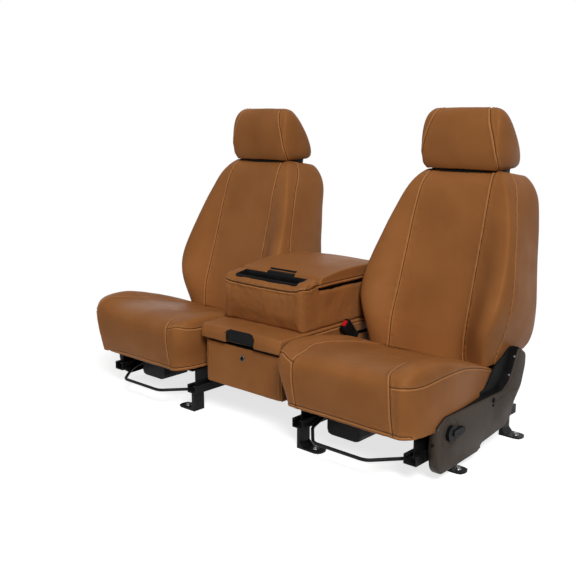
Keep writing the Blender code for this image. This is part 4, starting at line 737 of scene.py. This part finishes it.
for seat, side in seats.items():
    cage = lattice(both_sides(0.25, 0.55, 0.80, 0.93), (0.13, 0.38, 0.66, 0.90),
                   (0.05, 0.15, 0.26, 0.40, 0.55, 0.69, 0.81, 0.90, 0.965))
    crease_hem(cage, 0.7)
    for vert in cage.verts:
        across, along, up = back_point(*vert.co)
        vert.co = back_place[seat] @ Vector((side * across, along, up))
    pad = round_out(cage, 4)
    seams = [[back_place[seat] @ Vector((out * across, along, up)) for across, along, up in line]
             for out in (-1, 1) for line in (MIDDLE_SEAM, FLANK_SEAM)]
    ripple(pad, 0.0016, 0.080, 4.0 + side)
    routes = sew(pad, seams, gather=0.0016)
    back = finish_skin(seat + "_back", pad, seat + "_back")
    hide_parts(seat + "_back_cover", seat + "_back_foam")
    stitch(seat + "_back_stitching", back, routes, WIDE_ROWS, seat + "_back")

# Tuck flaps between cushions and backs.
# A padded strip of the cover runs from under the cushion's rear edge up into the back, so no light shows
# between them.
FLAP_WIDTH, FLAP_THICK = 0.452, 0.008
for seat, side in seats.items():
    flap = lattice((0.06, 0.5, 0.94), (0.2, 0.5, 0.8), (0.5,))
    for vert in flap.verts:
        across, run, layer = vert.co
        along = eased([(0.0, 0.088), (0.35, 0.122), (0.7, 0.142), (1.0, 0.140)], run)
        up = eased([(0.0, 0.226), (0.35, 0.236), (0.7, 0.262), (1.0, 0.300)], run)
        thick = FLAP_THICK * layer
        vert.co = (side * SEAT_X + FLAP_WIDTH * (across - 0.5), along + thick, up - thick * (1 - run))
    strip = finish_skin(seat + "_tuck_flap", round_out(flap, 3), None)
    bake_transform(strip)

# Head restraints in their covers.
# A wrapped front and top panel meets a side panel at each end; the cover closes under the foam on a black
# moulded base that the posts pass through. The base reaches down to the back's top, so it is partly the
# moulded base and partly painted shade standing in for the shadowed gap between head restraint and back.
HEAD_LOW, HEAD_TOP, HEAD_INBOARD = 0.635, 0.840, 0.006
HEAD_SEAM = [
    (0.136, -0.085, 0.638), (0.141, -0.106, 0.656), (0.139, -0.130, 0.690), (0.129, -0.143, 0.732),
    (0.112, -0.149, 0.785), (0.098, -0.136, 0.826), (0.088, -0.110, 0.840), (0.086, -0.092, 0.836)]
BASE_WIDTH, BASE_DEPTH, BASE_MIDDLE, BASE_CORNER = 0.256, 0.142, -0.027, 0.16
BASE_TOP, BASE_SLOPE, BASE_USUAL, BASE_TALLEST, BASE_GAP = 0.668, 0.028, 0.045, 0.050, 0.0015


def head_point(share, deep, rise):
    """Place on a head restraint in the back's leaning frame, for a point of the unit cube."""
    across = 2 * share - 1
    half = eased([(0, 0.140), (0.08, 0.153), (0.3, 0.159), (0.65, 0.156), (0.88, 0.147), (1, 0.124)], rise)
    front = eased(
        [(0, -0.106), (0.08, -0.120), (0.3, -0.136), (0.65, -0.150), (0.88, -0.147), (1, -0.126)], rise)
    rear = eased(
        [(0, 0.050), (0.08, 0.058), (0.22, 0.052), (0.65, -0.008), (0.88, -0.058), (1, -0.084)], rise)
    side = eased([(0.0, 0.93), (0.25, 1.0), (0.55, 1.0), (0.85, 0.965), (1.0, 0.86)], deep)
    bow = 0.006 * (1 - across * across) * (1 - deep)
    up = HEAD_LOW + (HEAD_TOP - HEAD_LOW) * rise + 0.043 * deep * (1 - rise) ** 1.5
    return across * half * side, front + deep * (rear - front) - bow, up


for seat, side in seats.items():
    cage = lattice(both_sides(0.35, 0.70, 0.90), (0.14, 0.36, 0.64, 0.88), (0.08, 0.30, 0.62, 0.88))
    crease_hem(cage, 0.5)
    for vert in cage.verts:
        across, along, up = head_point(*vert.co)
        vert.co = back_place[seat] @ Vector((across - side * HEAD_INBOARD, along, up))
    pad = round_out(cage, 4)
    seams = [[back_place[seat] @ Vector((out * across - side * HEAD_INBOARD, along, up))
              for across, along, up in HEAD_SEAM] for out in (-1, 1)]
    ripple(pad, 0.0010, 0.060, 8.0 + side)
    routes = sew(pad, seams)
    head = finish_skin(seat + "_head", pad, seat + "_head_restraint")
    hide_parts(seat + "_head_cover", seat + "_head_foam")
    stitch(seat + "_head_stitching", head, routes, WIDE_ROWS, seat + "_head_restraint")
    # Black base under the head: partly a moulded base, partly painted shade, cast down onto the back's top
    # where the gap between them would lie in shadow.
    shoulder = surface_of(bpy.data.objects[seat + "_back"])
    down = back_place[seat].to_3x3() @ Vector((0, 0, -1))
    base = lattice((0.03, 0.12, 0.5, 0.88, 0.97), (0.04, 0.15, 0.5, 0.85, 0.96), (0.1, 0.7))
    for vert in base.verts:
        across, deep, rise = vert.co
        corner = 1 - BASE_CORNER * (2 * across - 1) ** 4 * (2 * deep - 1) ** 4
        top = back_place[seat] @ Vector((
            BASE_WIDTH * corner * (across - 0.5) - side * HEAD_INBOARD,
            BASE_MIDDLE + BASE_DEPTH * corner * (deep - 0.5), BASE_TOP + BASE_SLOPE * deep))
        ground = shoulder.ray_cast(top, down)[3] or BASE_USUAL
        vert.co = top + down * (min(ground, BASE_TALLEST) - BASE_GAP) * (1 - rise)
    base = round_out(base, 3)
    finish_piece(seat + "_head_shade_base", base, black_trim, seat + "_head_restraint", 60.0)

# Bin cover.
# Thin leatherette wrapped round the moulded bin's front and sides, with a seam down each front corner, and a
# thin zinc collar round the lock.
BIN_HALF, BIN_FRONT, BIN_CORNER, BIN_SEAM = 0.180, -0.3285, 0.026, 0.171


def swell(name, voxel, passes):
    """Copy of a packed cover, remeshed finely and smoothed like padding under a pulled skin."""
    mesh = bmesh.new()
    mesh.from_mesh(solids[name].data)
    bmesh.ops.remove_doubles(mesh, verts=mesh.verts, dist=0.00002)
    data = mesh_data("swell", mesh)
    item = add_object("swell", data)
    remesh = item.modifiers.new("remesh", "REMESH")
    remesh.mode = "VOXEL"
    remesh.voxel_size = voxel
    smooth = item.modifiers.new("smooth", "SMOOTH")
    smooth.factor = 0.5
    smooth.iterations = passes
    made = take_shape(item)
    bpy.data.meshes.remove(data)
    return made


def square_corners(mesh, half, front, radius, power):
    """Front corners drawn out from a round bend towards a square one."""
    for vert in mesh.verts:
        across, along = abs(vert.co.x) - (half - radius), (front + radius) - vert.co.y
        if across > 0.0 and along > 0.0:
            reach = math.hypot(across, along)
            grown = reach / (across ** power + along ** power) ** (1.0 / power)
            vert.co.x += math.copysign(across * (grown - 1.0), vert.co.x)
            vert.co.y -= along * (grown - 1.0)


pad = swell("bin_cover", 0.0025, 4)
square_corners(pad, BIN_HALF, BIN_FRONT, BIN_CORNER, 5.0)
ripple(pad, 0.0012, 0.060, 3.0)
seams = [[(out * BIN_SEAM, BIN_FRONT, up) for up in (0.139, 0.19, 0.24, 0.285)] for out in (-1, 1)]
routes = sew(pad, seams, 0.0014, 0.0010, 0.0024)
wrap = finish_skin("bin_wrap", pad, "bench_base")
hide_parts("bin_cover")
stitch("bin_stitching", wrap, routes, CLOSE_ROWS, "bench_base")
collar = bmesh.new()
ring_bead(collar, (0.0, -0.3292, 0.250), (0, -1, 0), 0.0090, 0.0010)
finish_piece("bin_lock_collar", collar, bolt_zinc, "bench_base", 60.0)

# Centre cushion and its pull latch.
# A padded lid over the bin in the same leatherette, rolled over its front edge; the black latch sits in an
# arched recess in the middle of the front.
LATCH_FRONT, LATCH_LOW, LATCH_HIGH, LATCH_HALF = -0.3425, 0.3020, 0.3460, 0.068
LATCH_RECESS, LATCH_FLAT, LATCH_ARCH = 0.0125, 0.040, 0.014


def block_pad(half, front, rear, low, top, crown, dip):
    """Crowned pad with rolled edges and sides that draw in towards the foot."""
    cage = lattice(both_sides(0.5, 0.82, 0.95), (0.03, 0.10, 0.30, 0.55, 0.80, 0.96), (0.18, 0.52, 0.86))
    for vert in cage.verts:
        across, along, rise = 2 * vert.co.x - 1, vert.co.y, vert.co.z
        fall = 0.55 * across * across + 0.45 * (2 * along - 1) ** 2
        draw = 1.0 - 0.030 * (1 - rise) ** 2
        roll = 0.010 * ease(0.6, 1.0, rise) * (1 - ease(0.0, 0.08, along))
        up = low + (top - crown * fall - dip * (1 - ease(0.0, 0.4, along)) - low) * rise
        vert.co = (across * half * draw, front + (rear - front) * along + roll, up)
    return round_out(cage, 4)


def add_box(mesh, size, middle):
    """Box of a size about its middle."""
    made = bmesh.ops.create_cube(mesh, size=1.0)["verts"]
    bmesh.ops.scale(mesh, vec=size, verts=made)
    bmesh.ops.translate(mesh, vec=middle, verts=made)


pad = block_pad(0.187, -0.3470, 0.1850, 0.2985, 0.3520, 0.007, 0.0)
ripple(pad, 0.0016, 0.070, 7.0)
for vert in pad.verts:
    if vert.co.y < LATCH_FRONT + 0.03 and abs(vert.co.x) < LATCH_HALF + 0.002:
        past_flat = max(0.0, (abs(vert.co.x) - LATCH_FLAT) / (LATCH_HALF - LATCH_FLAT))
        if vert.co.z < LATCH_HIGH - LATCH_ARCH * past_flat ** 2.2:
            vert.co.y = max(vert.co.y, LATCH_FRONT + LATCH_RECESS)
seams = [[(out * 0.180, -0.338, 0.304), (out * 0.184, -0.330, 0.322), (out * 0.186, -0.300, 0.335),
          (out * 0.186, -0.15, 0.337), (out * 0.186, 0.0, 0.337), (out * 0.184, 0.16, 0.335)]
         for out in (-1, 1)]
routes = sew(pad, seams, 0.0016, 0.0009, 0.0024)
cushion = finish_skin("centre_pad", pad, "centre_seat")
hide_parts("centre_cushion")
stitch("centre_stitching", cushion, routes, CLOSE_ROWS, "centre_seat")

latch = bmesh.new()
add_box(latch, (2 * LATCH_HALF - 0.004, 0.0085, LATCH_HIGH - LATCH_LOW - 0.002),
        (0, LATCH_FRONT + 0.0055, (LATCH_HIGH + LATCH_LOW) / 2))
upper = [edge for edge in latch.edges if abs(edge.verts[0].co.y - edge.verts[1].co.y) > 0.005
         and min(vert.co.z for vert in edge.verts) > LATCH_LOW + 0.01]
round_edges(latch, upper, 0.020, 8)
round_edges(latch, [edge for edge in latch.edges if edge.calc_face_angle(0.0) > 0.9], 0.0014, 3)
front_face = max(latch.faces, key=lambda face: -face.normal.y * face.calc_area())
bmesh.ops.inset_region(latch, faces=[front_face], thickness=0.0045, depth=0.0)
bmesh.ops.inset_region(latch, faces=[front_face], thickness=0.0015, depth=-0.0022)
pull = finish_piece("centre_pull_latch", latch, black_plastic, "centre_catch")
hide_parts("centre_latch")

# Armrest body.
# A padded box folded down on the centre cushion: the cover is piped round the raised nose, and it is loose
# enough to crease a little on the front; a black collar lines the tray's mouth in the nose.
REST_HALF, REST_FRONT, REST_CORNER, REST_LOW, REST_FACE = 0.186, -0.2365, 0.040, 0.3475, 0.135
NOSE_EDGE = [
    (-0.1835, -0.150, 0.500), (-0.1835, -0.195, 0.490), (-0.174, -0.226, 0.485), (-0.120, -0.2345, 0.484),
    (0.0, -0.2365, 0.483), (0.120, -0.2345, 0.484), (0.164, -0.222, 0.487), (0.180, -0.190, 0.494),
    (0.1835, -0.150, 0.503)]
TRAY_SIZE, TRAY_Y, TRAY_Z, TRAY_REAR, TRAY_FRONT = (0.2892, 0.0552, 0.0190), -0.1865, 0.5035, 0.5175, 0.5085
pad = swell("armrest_cover", 0.0034, 10)
square_corners(pad, REST_HALF, REST_FRONT, REST_CORNER, 3.2)
for vert in pad.verts:
    level = (vert.co.z - REST_LOW) / REST_FACE
    if vert.co.y < -0.20 and 0.0 < level < 1.0:
        vert.co.y -= 0.004 * math.sin(math.pi * level)
    if vert.co.y < -0.130:
        high = ease(0.455, 0.490, vert.co.z) * (1 - ease(-0.160, -0.146, vert.co.y))
        slope = 0.028 * ease(-0.236, -0.205, vert.co.y) + 0.004 * ease(-0.19, -0.16, vert.co.y)
        vert.co.z += high * (slope - 0.009)
ripple(pad, 0.0030, 0.055, 11.0)
ripple(pad, 0.0009, 0.018, 5.0)
routes = sew(pad, [NOSE_EDGE], 0.0030, 0.0026, 0.0024, 0.0028)
rest = finish_skin("armrest_pad", pad, "armrest")
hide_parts("armrest_cover")
stitch("armrest_stitching", rest, routes, PIPED_ROW, "armrest")
piping = tube_along([tuple(point) for point in routes[0][::8]], 0.0027, 0.010, 12, 2)
finish_skin("armrest_piping", piping, "armrest")
collar = bmesh.new()
add_box(collar, TRAY_SIZE, (0.0, TRAY_Y, TRAY_Z))
for vert in collar.verts:
    if vert.co.z > TRAY_Z:
        vert.co.z = TRAY_REAR if vert.co.y > TRAY_Y else TRAY_FRONT
bmesh.ops.delete(collar, geom=[face for face in collar.faces if abs(face.normal.z) > 0.5], context="FACES")
bmesh.ops.solidify(collar, geom=collar.faces[:], thickness=0.003)
bmesh.ops.recalc_face_normals(collar, faces=collar.faces)
round_edges(collar, collar.edges[:], 0.0006, 2)
finish_piece("armrest_tray_collar", collar, black_trim, "armrest")

# Armrest lid.
# A thick pad on a moulded board, hinged at the rear, with a black-lined notch in its front edge for the lift
# latch.
LID_HALF, LID_SEAM, NOTCH_HALF, NOTCH_REAR, NOTCH_LOW = 0.186, 0.499, 0.0628, -0.1198, 0.5068
LINER_WALL = 0.0016
pad = block_pad(LID_HALF, -0.1440, 0.1930, 0.4868, 0.5440, 0.009, 0.013)
ripple(pad, 0.0014, 0.080, 19.0)
for vert in pad.verts:
    back, drop = NOTCH_REAR - vert.co.y, vert.co.z - NOTCH_LOW
    if abs(vert.co.x) < NOTCH_HALF and back > 0.0 and drop > 0.0:
        if back < drop:
            vert.co.y = NOTCH_REAR
        else:
            vert.co.z = NOTCH_LOW
LID_EDGE = [(LID_HALF, 0.180), (LID_HALF, -0.04), (LID_HALF, -0.10), (0.178, -0.138), (0.10, -0.145)]
seams = [[(out * across, along, LID_SEAM) for across, along in LID_EDGE] for out in (-1, 1)]
routes = sew(pad, seams, 0.0016, 0.0007, 0.0024)
lid = finish_skin("armrest_lid_pad", pad, "armrest_lid")
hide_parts("armrest_lid_cover")
stitch("armrest_lid_stitching", lid, routes, CLOSE_ROWS, "armrest_lid")
liner = bmesh.new()
add_box(liner, (2 * NOTCH_HALF - 0.001, LINER_WALL, 0.022), (0, NOTCH_REAR - 0.0009, NOTCH_LOW + 0.0105))
add_box(liner, (2 * NOTCH_HALF - 0.001, 0.0215, LINER_WALL), (0, NOTCH_REAR - 0.0112, NOTCH_LOW + 0.0004))
round_edges(liner, liner.edges[:], 0.0005, 2)
finish_piece("armrest_lid_liner", liner, black_trim, "armrest_lid")

# Studio: a pale floor, soft lamps and the photograph's camera.
# The bench stands on the floor, and the camera looks down on it from in front of the driver's side.
SHADOW_REACH, SHADOW_END = 0.9, 1.9


def seen_white(tree):
    """1 for a ray from the camera, a shiny face or a clear one, which see plain white."""
    rays = tree.nodes.new("ShaderNodeLightPath")
    mirrored = math_node(tree, "MAXIMUM", rays.outputs["Is Glossy Ray"], rays.outputs["Is Transmission Ray"])
    return math_node(tree, "MAXIMUM", rays.outputs["Is Camera Ray"], mirrored)


floor_mesh = bmesh.new()
bmesh.ops.create_grid(floor_mesh, x_segments=1, y_segments=1, size=30.0)
floor = add_object("studio_floor", mesh_data("studio_floor", floor_mesh))
floor_white, tree, shader = start_material("floor_white", 0.9)
spot = tree.nodes.new("ShaderNodeTexCoord")
span = tree.nodes.new("ShaderNodeVectorMath")
span.operation = "LENGTH"
tree.links.new(spot.outputs["Object"], span.inputs[0])
near = remap(tree, span.outputs["Value"], SHADOW_REACH, SHADOW_END, 1.0, 0.0)
shade = colour_mix(tree, near, (0.0, 0.0, 0.0, 1.0), (0.60, 0.60, 0.60, 1.0))
tree.links.new(shade, shader.inputs["Base Color"])
shader.inputs["Specular IOR Level"].default_value = 0.0
shader.inputs["Emission Color"].default_value = (1.0, 1.0, 1.0, 1.0)
glowing = remap(tree, span.outputs["Value"], SHADOW_REACH, SHADOW_END, 0.74, 1.0)
tree.links.new(math_node(tree, "MULTIPLY", seen_white(tree), glowing), shader.inputs["Emission Strength"])
floor.data.materials.append(floor_white)
floor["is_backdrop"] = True

world = bpy.data.worlds.new("studio_world")
world.use_nodes = True
bpy.context.scene.world = world
sky = world.node_tree.nodes["Background"]
sky.inputs["Color"].default_value = (1.0, 1.0, 1.0, 1.0)
brightness = remap(world.node_tree, seen_white(world.node_tree), 0.0, 1.0, 0.11, 1.0)
world.node_tree.links.new(brightness, sky.inputs["Strength"])


def add_lamp(name, place, aim, size, power):
    """Square area lamp aimed at a point."""
    data = bpy.data.lights.new(name, "AREA")
    data.shape = "SQUARE"
    data.size = size
    data.energy = power
    item = add_object(name, data)
    item.location = place
    item.rotation_mode = "QUATERNION"
    item.rotation_quaternion = (Vector(aim) - Vector(place)).to_track_quat("-Z", "Y")


add_lamp("key_lamp", (4.9, -4.2, 5.0), (0.0, 0.0, 0.4), 2.2, 485.0)
add_lamp("fill_lamp", (-1.6, -3.0, 2.4), (0.0, 0.0, 0.5), 2.4, 18.0)
add_lamp("top_lamp", (0.2, 0.6, 3.6), (0.0, 0.0, 0.4), 2.6, 6.0)

camera_data = bpy.data.cameras.new("photo_camera")
camera_data.lens = 51.875
camera_data.sensor_width = 36.0
camera = add_object("photo_camera", camera_data)
camera.location = (1.92, -2.2265, 1.0565)
camera.rotation_euler = (math.radians(90.0 - 11.80), 0.0, math.radians(42.06))
bpy.context.scene.camera = camera
bpy.context.scene.view_settings.view_transform = "Standard"

low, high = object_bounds()
